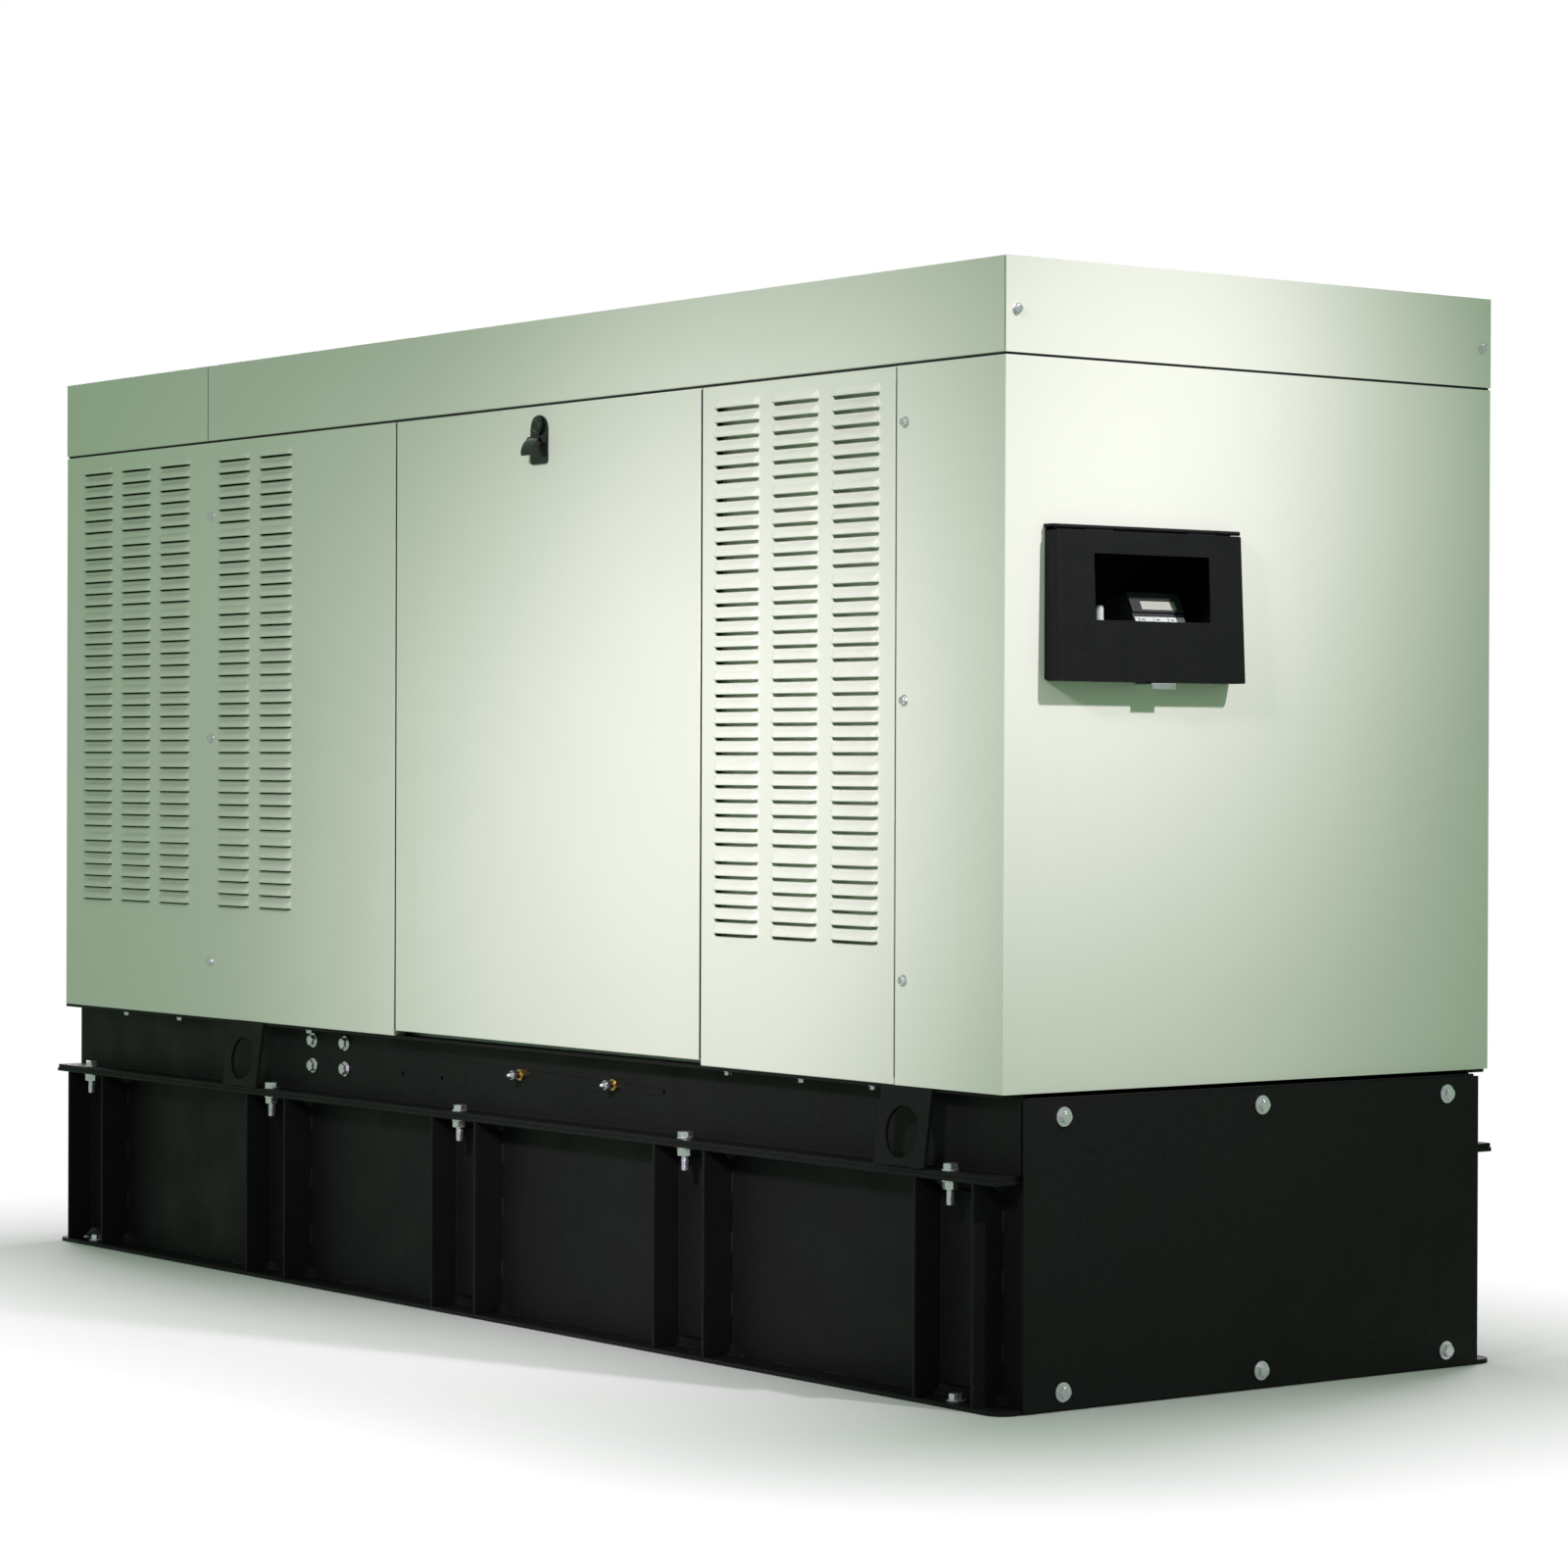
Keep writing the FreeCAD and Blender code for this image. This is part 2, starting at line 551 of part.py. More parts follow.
def door_seals():
    """Foam strips on the lip of each door opening."""
    x0, x1, z0, z1 = DOOR
    front = -HALF_WIDTH + PAN_DEPTH + 0.3
    outer = box(x0, x1, front, FRAME_LIP_Y[0], z0, z1)
    inner = box(x0 + 18, x1 - 18, front - 1, FRAME_LIP_Y[0] + 1, z0 + 18, z1 - 15)
    return both_sides([outer.cut(inner)])


def latch_plate():
    """Escutcheon with a round top, two pivot ears and the hole of the lock."""
    y = -HALF_WIDTH
    t = 3.0
    half = 22.0
    z_top, z_bottom = 1356.8, 1284.3
    plate = join(box(LATCH_X - half, LATCH_X + half, y - t, y, z_bottom, z_top - half),
                 cyl(half, (LATCH_X, y, z_top - half), -Y, t))
    corners = [edge for edge in plate.Edges
               if abs(edge.BoundBox.ZMin - z_bottom) < 0.1 and edge.BoundBox.YLength > t - 0.1
               and edge.BoundBox.ZLength < 0.1]
    plate = plate.makeFillet(5.0, corners)
    pivot_y, pivot_z = -LATCH_PIVOT[0], LATCH_PIVOT[1]
    for side in (-1, 1):
        x = LATCH_X + side * 19.0
        ear = box(x - 2, x + 2, pivot_y, y - t, pivot_z - 5, pivot_z + 5)
        ear = ear.fuse(cyl(5, (x - 2, pivot_y, pivot_z), X, 4))
        plate = plate.fuse(ear)
    plate = plate.cut(cyl(2 + RUNNING, (LATCH_X - 30, pivot_y, pivot_z), X, 60))
    boss = cyl(14, (LATCH_X, y - t, LOCK_Z), -Y, 4)
    plate = plate.fuse(boss).removeSplitter()
    return plate.cut(cyl(9 + RUNNING, (LATCH_X, y + 1, LOCK_Z), -Y, 20))


def latch_lever():
    """Lift handle on a cross pin: a curved thumb piece with a flat underside."""
    pivot_y, pivot_z = -LATCH_PIVOT[0], LATCH_PIVOT[1]
    profile = Part.Wire([
        Part.Arc(V(0, pivot_y, pivot_z + 4), V(0, -461.5, 1318.0), V(0, -469, 1299)).toShape(),
        Part.LineSegment(V(0, -469, 1299), V(0, -468, 1296.4)).toShape(),
        Part.LineSegment(V(0, -468, 1296.4), V(0, -463.5, 1296.4)).toShape(),
        Part.Arc(V(0, -463.5, 1296.4), V(0, -458, 1309.5), V(0, pivot_y, pivot_z - 4)).toShape(),
        Part.LineSegment(V(0, pivot_y, pivot_z - 4), V(0, pivot_y, pivot_z + 4)).toShape()])
    blade = Part.Face(profile).extrude(V(31, 0, 0))
    blade.translate(V(LATCH_X - 15.5, 0, 0))
    pin = cyl(2, (LATCH_X - 21.5, pivot_y, pivot_z), X, 43)
    return join(blade, pin)


def lock_cylinder():
    """Lock barrel through the door, with its key slot."""
    front = -HALF_WIDTH - 9.5
    barrel = cyl(9, (LATCH_X, front, LOCK_Z), Y, CAM_Y - front)
    return barrel.cut(box(LATCH_X - 1, LATCH_X + 1, front - 1, front + 4, LOCK_Z - 5, LOCK_Z + 5))


def lock_cam():
    """Tongue behind the door; lies level when unlocked and stands up when locked."""
    tongue = box(LATCH_X, LATCH_X + 36, CAM_Y, CAM_Y + 3, LOCK_Z - 9, LOCK_Z + 9)
    return join(tongue, cyl(9, (LATCH_X, CAM_Y, LOCK_Z), Y, 3))


# ---------------------------------------------------------------- control box
def control_box():
    """Moulded tub through the end panel, its rim, the hinge strip above the lid and the hinge pin."""
    y0, y1 = TUB_OUTER_Y
    z0, z1 = TUB_OUTER_Z
    rim_x = HALF_LENGTH + 3
    tub = box(TUB_BACK, rim_x, y0 + 0.2, y1 - 0.2, z0 + 0.2, z1 - 0.2)
    inside = (y0 + TUB_WALL, y1 - TUB_WALL, z0 + TUB_WALL, z1 - TUB_WALL)
    tub = tub.cut(box(TUB_BACK + TUB_WALL, rim_x + 1, *inside))
    rim = box(HALF_LENGTH, rim_x, LID_Y[0] + 2, LID_Y[1] - 2, LID_Z[0] + 2, 1154)
    rim = rim.cut(box(HALF_LENGTH - 1, rim_x + 1, *inside))
    pin_x, pin_z = LID_PIN
    strip = box(HALF_LENGTH, pin_x - 4.5, LID_Y[0], LID_Y[1], pin_z - 0.5, 1154)
    knuckles = []
    for k0, k1 in BODY_KNUCKLES:
        knuckles.append(cyl(3, (pin_x, k0, pin_z), Y, k1 - k0))
        knuckles.append(box(pin_x - 6, pin_x, k0, k1, pin_z - 0.5, pin_z + 3))
    whole = join(tub, rim, strip, *knuckles)
    whole = whole.cut(cyl(LID_PIN_R, (pin_x, LID_Y[0] - 5, pin_z), Y, 340))
    return Part.makeCompound([whole, cyl(LID_PIN_R, (pin_x, LID_Y[0] + 2, pin_z), Y, 323)])


def control_lid():
    """Sloped cover with a window opening, hung from the hinge strip."""
    y0, y1 = LID_Y
    z0, z1 = LID_Z
    top_x, bottom_x = HALF_LENGTH + LID_PROUD[0], HALF_LENGTH + LID_PROUD[1]
    back = HALF_LENGTH + 3.5
    t = 3.0
    outline = [(back, z0), (bottom_x, z0), (top_x, z1), (back, z1)]
    shell = profile_y(outline, y0, y1)
    corners = [edge for edge in shell.Edges
               if edge.BoundBox.XLength > 5 and edge.BoundBox.YLength < 1 and edge.BoundBox.ZLength < 1]
    uprights = [edge for edge in shell.Edges
                if edge.BoundBox.XMin > back + 1 and edge.BoundBox.ZLength > 50]
    shell = shell.makeFillet(LID_CORNER, corners + uprights)
    core = [(back - 1, z0 + t), (bottom_x - t, z0 + t), (top_x - t, z1 - t), (back - 1, z1 - t)]
    shell = shell.cut(profile_y(core, y0 + t, y1 - t))
    shell = shell.cut(box(top_x - 8, bottom_x + 5, *WINDOW_Y, *WINDOW_Z))
    pin_x, pin_z = LID_PIN
    knuckles = []
    for k0, k1 in LID_KNUCKLES:
        knuckles.append(cyl(3, (pin_x, k0, pin_z), Y, k1 - k0))
        knuckles.append(box(pin_x - 2, pin_x + 2, k0, k1, z1 - 1, pin_z))
    whole = join(shell, *knuckles)
    return whole.cut(cyl(LID_PIN_R + RUNNING, (pin_x, y0 - 5, pin_z), Y, 340))


def on_face(down, out=0.0):
    """(x, z) of a point on the controller's face, down from its top edge and out of it."""
    x, z = CONTROLLER_TOP
    c, s = math.cos(CONTROLLER_SLOPE), math.sin(CONTROLLER_SLOPE)
    return (x + down * s + out * c, z - down * c + out * s)


def face_block(down0, down1, out0, out1, y0, y1):
    """A block parallel to the controller's face."""
    outline = [on_face(down0, out0), on_face(down1, out0), on_face(down1, out1), on_face(down0, out1)]
    return profile_y(outline, y0, y1)


def controller():
    """Sloped housing with a raised frame, display recess and button holes."""
    y0, y1 = CONTROLLER_Y
    foot_x, foot_z = on_face(85)
    back_x = 1190.0
    floor_z = TUB_OUTER_Z[0] + 3.3
    outline = [CONTROLLER_TOP, (foot_x, foot_z), (foot_x, floor_z), (back_x, floor_z), (back_x, 1062)]
    body = profile_y(outline, y0, y1)
    body = body.fuse(face_block(0, 30, 0, 3, y0, y1))
    body = body.cut(face_block(12, 26, -1, 5, -182, -119))
    for y in BUTTON_Y:
        body = body.cut(face_block(37.8, 44.2, -8, 1, y - 6.2, y + 6.2))
    return body.removeSplitter()


def controller_display():
    return face_block(12.1, 25.9, -1, 1.2, -181.9, -119.1)


def button(y):
    """One membrane-style key that presses square to the sloped face."""
    return face_block(38, 44, -4, 1.8, y - 6, y + 6)


# ---------------------------------------------------------------- engine and generator
def engine_block():
    crank = cyl(SHAFT_R + RUNNING, (-400, 0, CRANK_Z), X, 800)
    block = join(box(-330, 300, -130, 130, 560, 880), box(-300, 270, -112, 112, 450, 560))
    housing = ring(215, 188, (300, 0, CRANK_Z), X, 95)
    housing_back = cyl(215, (292, 0, CRANK_Z), X, 8)
    feet = []
    for x in (-280.0, 230.0):
        for side in (-1, 1):
            y_in, y_out = sorted((side * 112, side * 205))
            feet.append(box(x - 38, x + 38, y_in, y_out, 455, 470))
            y_in, y_out = sorted((side * 112, side * 130))
            feet.append(box(x - 38, x + 38, y_in, y_out, 455, 562))
    whole = join(block, housing, housing_back, *feet)
    ribs = [box(-290 + 90 * i, -278 + 90 * i, -138, 138, 600, 850) for i in range(7)]
    return join(whole, *ribs).cut(crank)


def cylinder_head():
    head = join(box(-320, 290, -118, 118, 880, 960), box(-305, 275, -70, 70, 960, 1035))
    manifold = join(box(-280, 250, 118, 160, 895, 945), cyl(34, (-200, 139, 920), Z, 46))
    return join(head, manifold)


def crankshaft():
    """Main shaft with the belt pulley at one end and the flywheel at the generator end."""
    shaft = join(cyl(SHAFT_R, (-385, 0, CRANK_Z), X, 695), cyl(182, (310, 0, CRANK_Z), X, 50))
    pulley = cyl(75, (BELT_X - 16, 0, CRANK_Z), X, 28)
    return join(shaft, pulley.cut(ring(80, 68, (BELT_X - 9, 0, CRANK_Z), X, 18)))


def fan_belt():
    grip = 0.4
    circles = [(0.0, CRANK_Z, 68 + grip), (0.0, FAN_Z, 52 + grip),
               (ALTERNATOR_AXIS[0], ALTERNATOR_AXIS[1], 30 + grip)]
    thick = 7.0
    outer = belt_face([(y, z, r + thick) for y, z, r in circles], BELT_X - 8)
    inner = belt_face(circles, BELT_X - 8)
    return outer.cut(inner).extrude(V(16, 0, 0))


def radiator_fan():
    hub = cyl(55, (-500, 0, FAN_Z), X, 50)
    shaft = cyl(14, (-450, 0, FAN_Z), X, 118)
    pulley = cyl(58, (BELT_X - 13, 0, FAN_Z), X, 26)
    pulley = pulley.cut(ring(60, 52, (BELT_X - 9, 0, FAN_Z), X, 18))
    blades = []
    for i in range(7):
        blade = box(-4, 0, -42, 42, 48, 268)
        blade.rotate(V(0, 0, 0), Z, 32)
        blade.translate(V(-473, 0, 0))
        blade.rotate(V(0, 0, 0), X, 360.0 / 7 * i)
        blade.translate(V(0, 0, FAN_Z))
        blades.append(blade)
    return join(hub, shaft, pulley, *blades)


def fan_shroud():
    plate = box(-545, -543, -325, 325, 485, 1175)
    plate = plate.cut(cyl(288, (-550, 0, FAN_Z), X, 20))
    return join(plate, ring(291, 288, (-545, 0, FAN_Z), X, 90))


def radiator():
    core = box(-605, -545, -320, 320, 490, 1170)
    top = box(-608, -542, -325, 325, 1175, 1230)
    bottom = box(-605, -545, -325, 325, 430, 490)
    sides = [box(-605, -545, -325, -320, 490, 1175), box(-605, -545, 320, 325, 490, 1175)]
    neck = cyl(20, (-575, -200, 1230), Z, 20)
    feet = box(-602, -542, -300, -200, 409, 430)
    return join(core, box(-605, -545, -320, 320, 1170, 1176), top, bottom, *sides, neck, feet, to_back(feet))


def radiator_cap():
    cap = join(cyl(27, (-575, -200, 1250.2), Z, 9), cyl(20, (-575, -200, 1259), Z, 4))
    return join(cap, box(-605, -545, -206, -194, 1250.2, 1262))


def charging_alternator():
    y, z = ALTERNATOR_AXIS
    body = join(cyl(58, (-335, y, z), X, 130), cyl(50, (-340, y, z), X, 140))
    bracket = box(-250, -220, y + 40, -138, z - 40, z - 10)
    return join(body, bracket).cut(cyl(8 + RUNNING, (-345, y, z), X, 60))


def alternator_pulley():
    y, z = ALTERNATOR_AXIS
    pulley = cyl(36, (BELT_X - 12, y, z), X, 21)
    pulley = pulley.cut(ring(38, 30, (BELT_X - 9, y, z), X, 18))
    return join(pulley, cyl(8, (BELT_X - 16, y, z), X, 70))


def generator_stator():
    body = ring(212, 143, (402, 0, CRANK_Z), X, 400)
    front = ring(212, 62, (395, 0, CRANK_Z), X, 8)
    rear = ring(205, SHAFT_R + RUNNING, (802, 0, CRANK_Z), X, 16)
    fins = [ring(217, 210, (430 + 24 * i, 0, CRANK_Z), X, 6) for i in range(14)]
    feet = [box(680, 760, -205, -100, 455, 470), box(680, 760, 100, 205, 455, 470),
            box(700, 740, -170, -140, 465, 545), box(700, 740, 140, 170, 465, 545)]
    duct = box(540, 760, -95, 95, 885, 965)
    bore = cyl(143, (403, 0, CRANK_Z), X, 399)
    return join(body, front, rear, duct, *fins, *feet).cut(bore)


def generator_rotor():
    return join(cyl(SHAFT_R, (360, 0, CRANK_Z), X, 480), cyl(141, (430, 0, CRANK_Z), X, 340))


def isolators():
    places = [(-280, 170), (230, 170), (720, 170)]
    pads = [join(cyl(30, (x, -y, 409), Z, 46), cyl(36, (x, -y, 420), Z, 14)) for x, y in places]
    return both_sides(pads)


def battery():
    case = box(670, 920, 240, 400, 413, 620)
    rim = box(667, 923, 237, 403, 590, 605)
    posts = [cyl(9, (700, 275, 620), Z, 18), cyl(9, (890, 275, 620), Z, 18)]
    return join(case, rim, *posts)


def muffler():
    """Silencer across the discharge space, with inlet and outlet pipes."""
    can = cyl(110, (-950, -285, 1140), Y, 570)
    rings = [ring(114, 108, (-950, y, 1140), Y, 8) for y in (-289, -90, 90, 281)]
    inlet = bent_rod([(-200, 139, 966), (-200, 139, 1100), (-200, 240, 1100), (-200, 240, 1300),
                       (-950, 240, 1300), (-950, 240, 1240)], 25, 38)
    outlet = cyl(32, (-950, -200, 1235), Z, 240)
    hollow = cyl(28, (-950, -200, 1260), Z, 240)
    return join(can, *rings, inlet, outlet).cut(hollow)


def air_cleaner():
    can = cyl(85, (340, -20, 1110), X, 290)
    lid = cyl(89, (600, -20, 1110), X, 34)
    duct = bent_rod([(345, -20, 1110), (240, -20, 1110), (240, -20, 1036)], 32, 42)
    return join(can, lid, duct)


def fuel_cap():
    x, y, r_out, r_in, top = FILLER
    grips = []
    for index in range(8):
        grip = box(-3, 3, r_out + 4, r_out + 9, top + 4, top + 26)
        grip.rotate(V(0, 0, 0), Z, 45 * index)
        grip.translate(V(x, y, 0))
        grips.append(grip)
    return join(cyl(r_out + 6, (x, y, top + 0.3), Z, 26), cyl(r_in - 1, (x, y, top - 14), Z, 20), *grips)


def main_breaker():
    """Moulded circuit breaker on an angle bracket, with its handle slot."""
    case = box(475, 585, -330, -240, 1000, 1250)
    bracket = join(box(465, 595, -240, -236, 968, 1262), box(550, 590, -240, 80, 965, 969))
    slot = box(513, 547, -331, -296, 1080, 1170)
    pins = cyl(3 + RUNNING, (505, -318, 1125), X, 50)
    return join(case, bracket).cut(slot).cut(pins)


def breaker_handle():
    lever = box(518, 542, -360, -318, 1118, 1132)
    whole = join(lever, cyl(14, (518, -318, 1125), X, 24), cyl(3, (507, -318, 1125), X, 46))
    whole.rotate(V(530, -318, 1125), X, -25)
    return whole


# ---------------------------------------------------------------- every node, written to parts/
PARTS = {
    "tank_bottom_plate": tank_bottom_plate(),
    "tank_walls": tank_walls(),
    "tank_top_plate": tank_top_plate(),
    "tank_stiffeners": tank_stiffeners(),
    "end_plate": end_plate(),
    "base_frame": base_frame(),
    "lifting_brackets": lifting_brackets(),
    "flange_bolts": flange_bolts(),
    "frame_bolts": frame_bolts(),
    "drain_fittings": drain_fittings(),
    "panel_screws": panel_screws(),
    "side_panel_front": side_panel(),
    "intake_panel_front": intake_panel(),
    "discharge_end_panel": discharge_end_panel(),
    "control_end_panel": control_end_panel(),
    "roof_main": roof_main(),
    "roof_discharge": roof_discharge(),
    "roof_end_cap": roof_end_cap(),
    "frame_posts": frame_posts(),
    "door_frames": door_frames(),
    "radiator_bulkhead": radiator_bulkhead(),
    "door_front": door(),
    "door_seals": door_seals(),
    "latch_plate_front": latch_plate(),
    "latch_lever_front": latch_lever(),
    "lock_cylinder_front": lock_cylinder(),
    "lock_cam_front": lock_cam(),
    "control_box": control_box(),
    "control_lid": control_lid(),
    "controller": controller(),
    "controller_display": controller_display(),
    "engine_block": engine_block(),
    "cylinder_head": cylinder_head(),
    "crankshaft": crankshaft(),
    "fan_belt": fan_belt(),
    "radiator_fan": radiator_fan(),
    "fan_shroud": fan_shroud(),
    "radiator": radiator(),
    "radiator_cap": radiator_cap(),
    "charging_alternator": charging_alternator(),
    "alternator_pulley": alternator_pulley(),
    "generator_stator": generator_stator(),
    "generator_rotor": generator_rotor(),
    "isolators": isolators(),
    "battery": battery(),
    "muffler": muffler(),
    "air_cleaner": air_cleaner(),
    "fuel_cap": fuel_cap(),
    "main_breaker": main_breaker(),
    "breaker_handle": breaker_handle(),
}
for node in ("side_panel", "intake_panel", "door", "latch_plate", "latch_lever", "lock_cylinder", "lock_cam"):
    PARTS[node + "_back"] = to_back(PARTS[node + "_front"])
for number, y in enumerate(BUTTON_Y, 1):
    PARTS[f"button_{number}"] = button(y)

os.makedirs("parts", exist_ok=True)
for node, shape in PARTS.items():
    shape.exportStep(f"parts/{node}.step")
    state = "valid" if shape.isValid() else "NOT VALID"
    print(node, len(shape.Solids), state, round(shape.Volume / 1e3), "cm3")
print(len(PARTS), "nodes")
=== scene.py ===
"""Looks of the standby generator set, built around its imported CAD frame. Metres, row frame."""
import json
import math
import random

import bmesh
import bpy
from mathutils import Matrix, Vector


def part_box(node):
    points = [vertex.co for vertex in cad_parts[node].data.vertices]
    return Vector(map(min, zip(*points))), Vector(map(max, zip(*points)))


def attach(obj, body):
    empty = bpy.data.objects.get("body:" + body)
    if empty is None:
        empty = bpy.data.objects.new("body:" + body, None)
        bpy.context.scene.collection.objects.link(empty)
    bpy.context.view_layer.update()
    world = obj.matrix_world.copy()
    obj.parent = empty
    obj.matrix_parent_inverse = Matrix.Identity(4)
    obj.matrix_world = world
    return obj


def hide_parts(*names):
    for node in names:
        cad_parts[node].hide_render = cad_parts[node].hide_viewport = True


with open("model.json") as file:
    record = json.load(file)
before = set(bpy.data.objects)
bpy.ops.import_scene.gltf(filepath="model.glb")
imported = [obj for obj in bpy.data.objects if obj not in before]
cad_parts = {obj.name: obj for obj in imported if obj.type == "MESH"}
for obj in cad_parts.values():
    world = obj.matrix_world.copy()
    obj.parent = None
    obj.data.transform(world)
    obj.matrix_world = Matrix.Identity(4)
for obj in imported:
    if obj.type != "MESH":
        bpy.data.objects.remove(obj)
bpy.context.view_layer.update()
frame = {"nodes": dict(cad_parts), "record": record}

MM = 0.001
rng = random.Random(7)


# ---------------------------------------------------------------- camera
CAMERA_AT = (5.645, -4.08, 0.845)
AZIMUTH, ELEVATION, ROLL = 53.05, 0.3, 0.2       # degrees; azimuth 0 looks along +Y
LENS, SENSOR = 101, 36                           # millimetres
FAR = 200


def make_camera():
    data = bpy.data.cameras.new("camera")
    data.lens = LENS
    data.sensor_width = SENSOR
    data.clip_end = FAR
    camera = bpy.data.objects.new("camera", data)
    bpy.context.scene.collection.objects.link(camera)
    turn = Matrix.Rotation(math.radians(AZIMUTH), 4, "Z")
    tip = Matrix.Rotation(math.radians(90 - ELEVATION), 4, "X")
    roll = Matrix.Rotation(math.radians(ROLL), 4, "Z")
    camera.matrix_world = Matrix.Translation(CAMERA_AT) @ turn @ tip @ roll
    bpy.context.scene.camera = camera


# ---------------------------------------------------------------- materials
class Look:
    """One procedural material, read in the row frame's own coordinates."""

    def __init__(self, name, **sockets):
        self.material = bpy.data.materials.new(name)
        self.material.use_nodes = True
        self.tree = self.material.node_tree
        self.shader = self.tree.nodes["Principled BSDF"]
        for socket, value in sockets.items():
            self.shader.inputs[socket.replace("_", " ")].default_value = value
        self.place = self.tree.nodes.new("ShaderNodeTexCoord").outputs["Object"]

    def node(self, kind, **settings):
        made = self.tree.nodes.new("ShaderNode" + kind)
        for key, value in settings.items():
            setattr(made, key, value)
        return made

    def link(self, output, socket):
        self.tree.links.new(output, socket)

    def noise(self, scale, detail):
        made = self.node("TexNoise")
        made.inputs["Scale"].default_value = scale
        made.inputs["Detail"].default_value = detail
        self.link(self.place, made.inputs["Vector"])
        return made.outputs["Fac"]

    def cells(self, scale):
        made = self.node("TexVoronoi")
        made.inputs["Scale"].default_value = scale
        self.link(self.place, made.inputs["Vector"])
        return made.outputs["Distance"]

    def ramp(self, factor, *stops):
        """A ramp between two stops, each a (position, colour)."""
        made = self.node("ValToRGB")
        for element, (position, colour) in zip(made.color_ramp.elements, stops):
            element.position = position
            element.color = (*colour, 1)
        self.link(factor, made.inputs["Fac"])
        return made.outputs["Color"]

    def spread(self, factor, low, high, start=0.3, end=0.7):
        made = self.node("MapRange")
        for key, value in (("From Min", start), ("From Max", end), ("To Min", low), ("To Max", high)):
            made.inputs[key].default_value = value
        self.link(factor, made.inputs["Value"])
        return made.outputs["Result"]

    def mix(self, factor, first, second):
        made = self.node("Mix", data_type="RGBA")
        self.link(factor, made.inputs["Factor"])
        for value, socket in ((first, made.inputs["A"]), (second, made.inputs["B"])):
            if isinstance(value, tuple):
                socket.default_value = (*value, 1)
            else:
                self.link(value, socket)
        return made.outputs["Result"]

    def colour(self, output):
        self.link(output, self.shader.inputs["Base Color"])

    def rough(self, output):
        self.link(output, self.shader.inputs["Roughness"])

    def bump(self, *layers):
        """Each layer is (height output, strength, distance in metres)."""
        normal = None
        for height, strength, distance in layers:
            made = self.node("Bump")
            made.inputs["Strength"].default_value = strength
            made.inputs["Distance"].default_value = distance
            self.link(height, made.inputs["Height"])
            if normal:
                self.link(normal, made.inputs["Normal"])
            normal = made.outputs["Normal"]
        self.link(normal, self.shader.inputs["Normal"])


def painted_sheet():
    """Light sage-beige powder coat: faint orange peel, a little dust and slow colour drift."""
    look = Look("enclosure_paint", Coat_Weight=0.12, Coat_Roughness=0.28, Specular_IOR_Level=0.45)
    drift = look.noise(1.7, 2)
    look.colour(look.ramp(drift, (0.3, (0.640, 0.690, 0.585)), (0.7, (0.672, 0.720, 0.618))))
    look.rough(look.spread(look.noise(9, 4), 0.40, 0.50))
    look.bump((look.noise(420, 2), 0.10, 0.0003), (look.noise(60, 2), 0.05, 0.0004))
    return look.material


def black_coat():
    """Black powder coat with fine texture, dusty patches and a few rubbed spots."""
    look = Look("base_black", Specular_IOR_Level=0.15)
    dust = look.spread(look.noise(3.2, 6), 0, 1, 0.45, 0.75)
    speck = look.spread(look.noise(520, 2), 0, 1, 0.35, 0.70)
    plain = look.mix(dust, (0.0042, 0.0042, 0.0044), (0.0080, 0.0080, 0.0082))
    look.colour(look.mix(speck, plain, (0.0115, 0.0115, 0.0118)))
    look.rough(look.spread(look.noise(14, 5), 0.45, 0.62))
    look.bump((look.noise(650, 2), 0.30, 0.0004), (look.noise(38, 3), 0.10, 0.0006))
    return look.material


def moulded_plastic(name, dark, light, rough=(0.45, 0.58), grain=900, specular=0.25):
    """Moulded plastic with a spark-eroded grain."""
    look = Look(name, Specular_IOR_Level=specular)
    speck = look.spread(look.noise(grain * 0.6, 2), 0, 1, 0.35, 0.65)
    look.colour(look.mix(speck, dark, light))
    look.rough(look.spread(look.noise(25, 3), *rough))
    look.bump((look.cells(grain), 0.40, 0.0004), (look.noise(50, 2), 0.03, 0.0005))
    return look.material


def plated(name, dark, light, rough, scale, metallic=1.0):
    """Bare or plated metal with cloudy variation and fine marks."""
    look = Look(name, Metallic=metallic)
    look.colour(look.mix(look.noise(scale, 4), dark, light))
    look.rough(look.spread(look.noise(scale * 1.7, 4), *rough))
    look.bump((look.noise(scale * 6, 2), 0.08, 0.0002))
    return look.material


def enamel(name, dark, light, rough=(0.30, 0.45)):
    """Enamel over castings: pebbled, with oily darker patches."""
    look = Look(name, Coat_Weight=0.2, Coat_Roughness=0.2)
    look.colour(look.mix(look.spread(look.noise(7, 6), 0, 1), dark, light))
    look.rough(look.spread(look.noise(20, 4), *rough))
    look.bump((look.noise(170, 3), 0.25, 0.0008), (look.noise(16, 3), 0.10, 0.002))
    return look.material


def gloss_black():
    look = Look("latch_black", Coat_Weight=0.5, Coat_Roughness=0.08, Specular_IOR_Level=0.3)
    look.colour(look.mix(look.noise(40, 3), (0.0035, 0.0040, 0.0040), (0.0070, 0.0076, 0.0076)))
    look.rough(look.spread(look.noise(90, 3), 0.22, 0.34))
    look.bump((look.noise(380, 2), 0.08, 0.0003))
    return look.material


def rubber():
    look = Look("rubber", Specular_IOR_Level=0.3)
    look.colour(look.mix(look.noise(12, 4), (0.010, 0.010, 0.010), (0.022, 0.021, 0.020)))
    look.rough(look.spread(look.noise(60, 4), 0.65, 0.85))
    look.bump((look.noise(500, 3), 0.25, 0.0004))
    return look.material


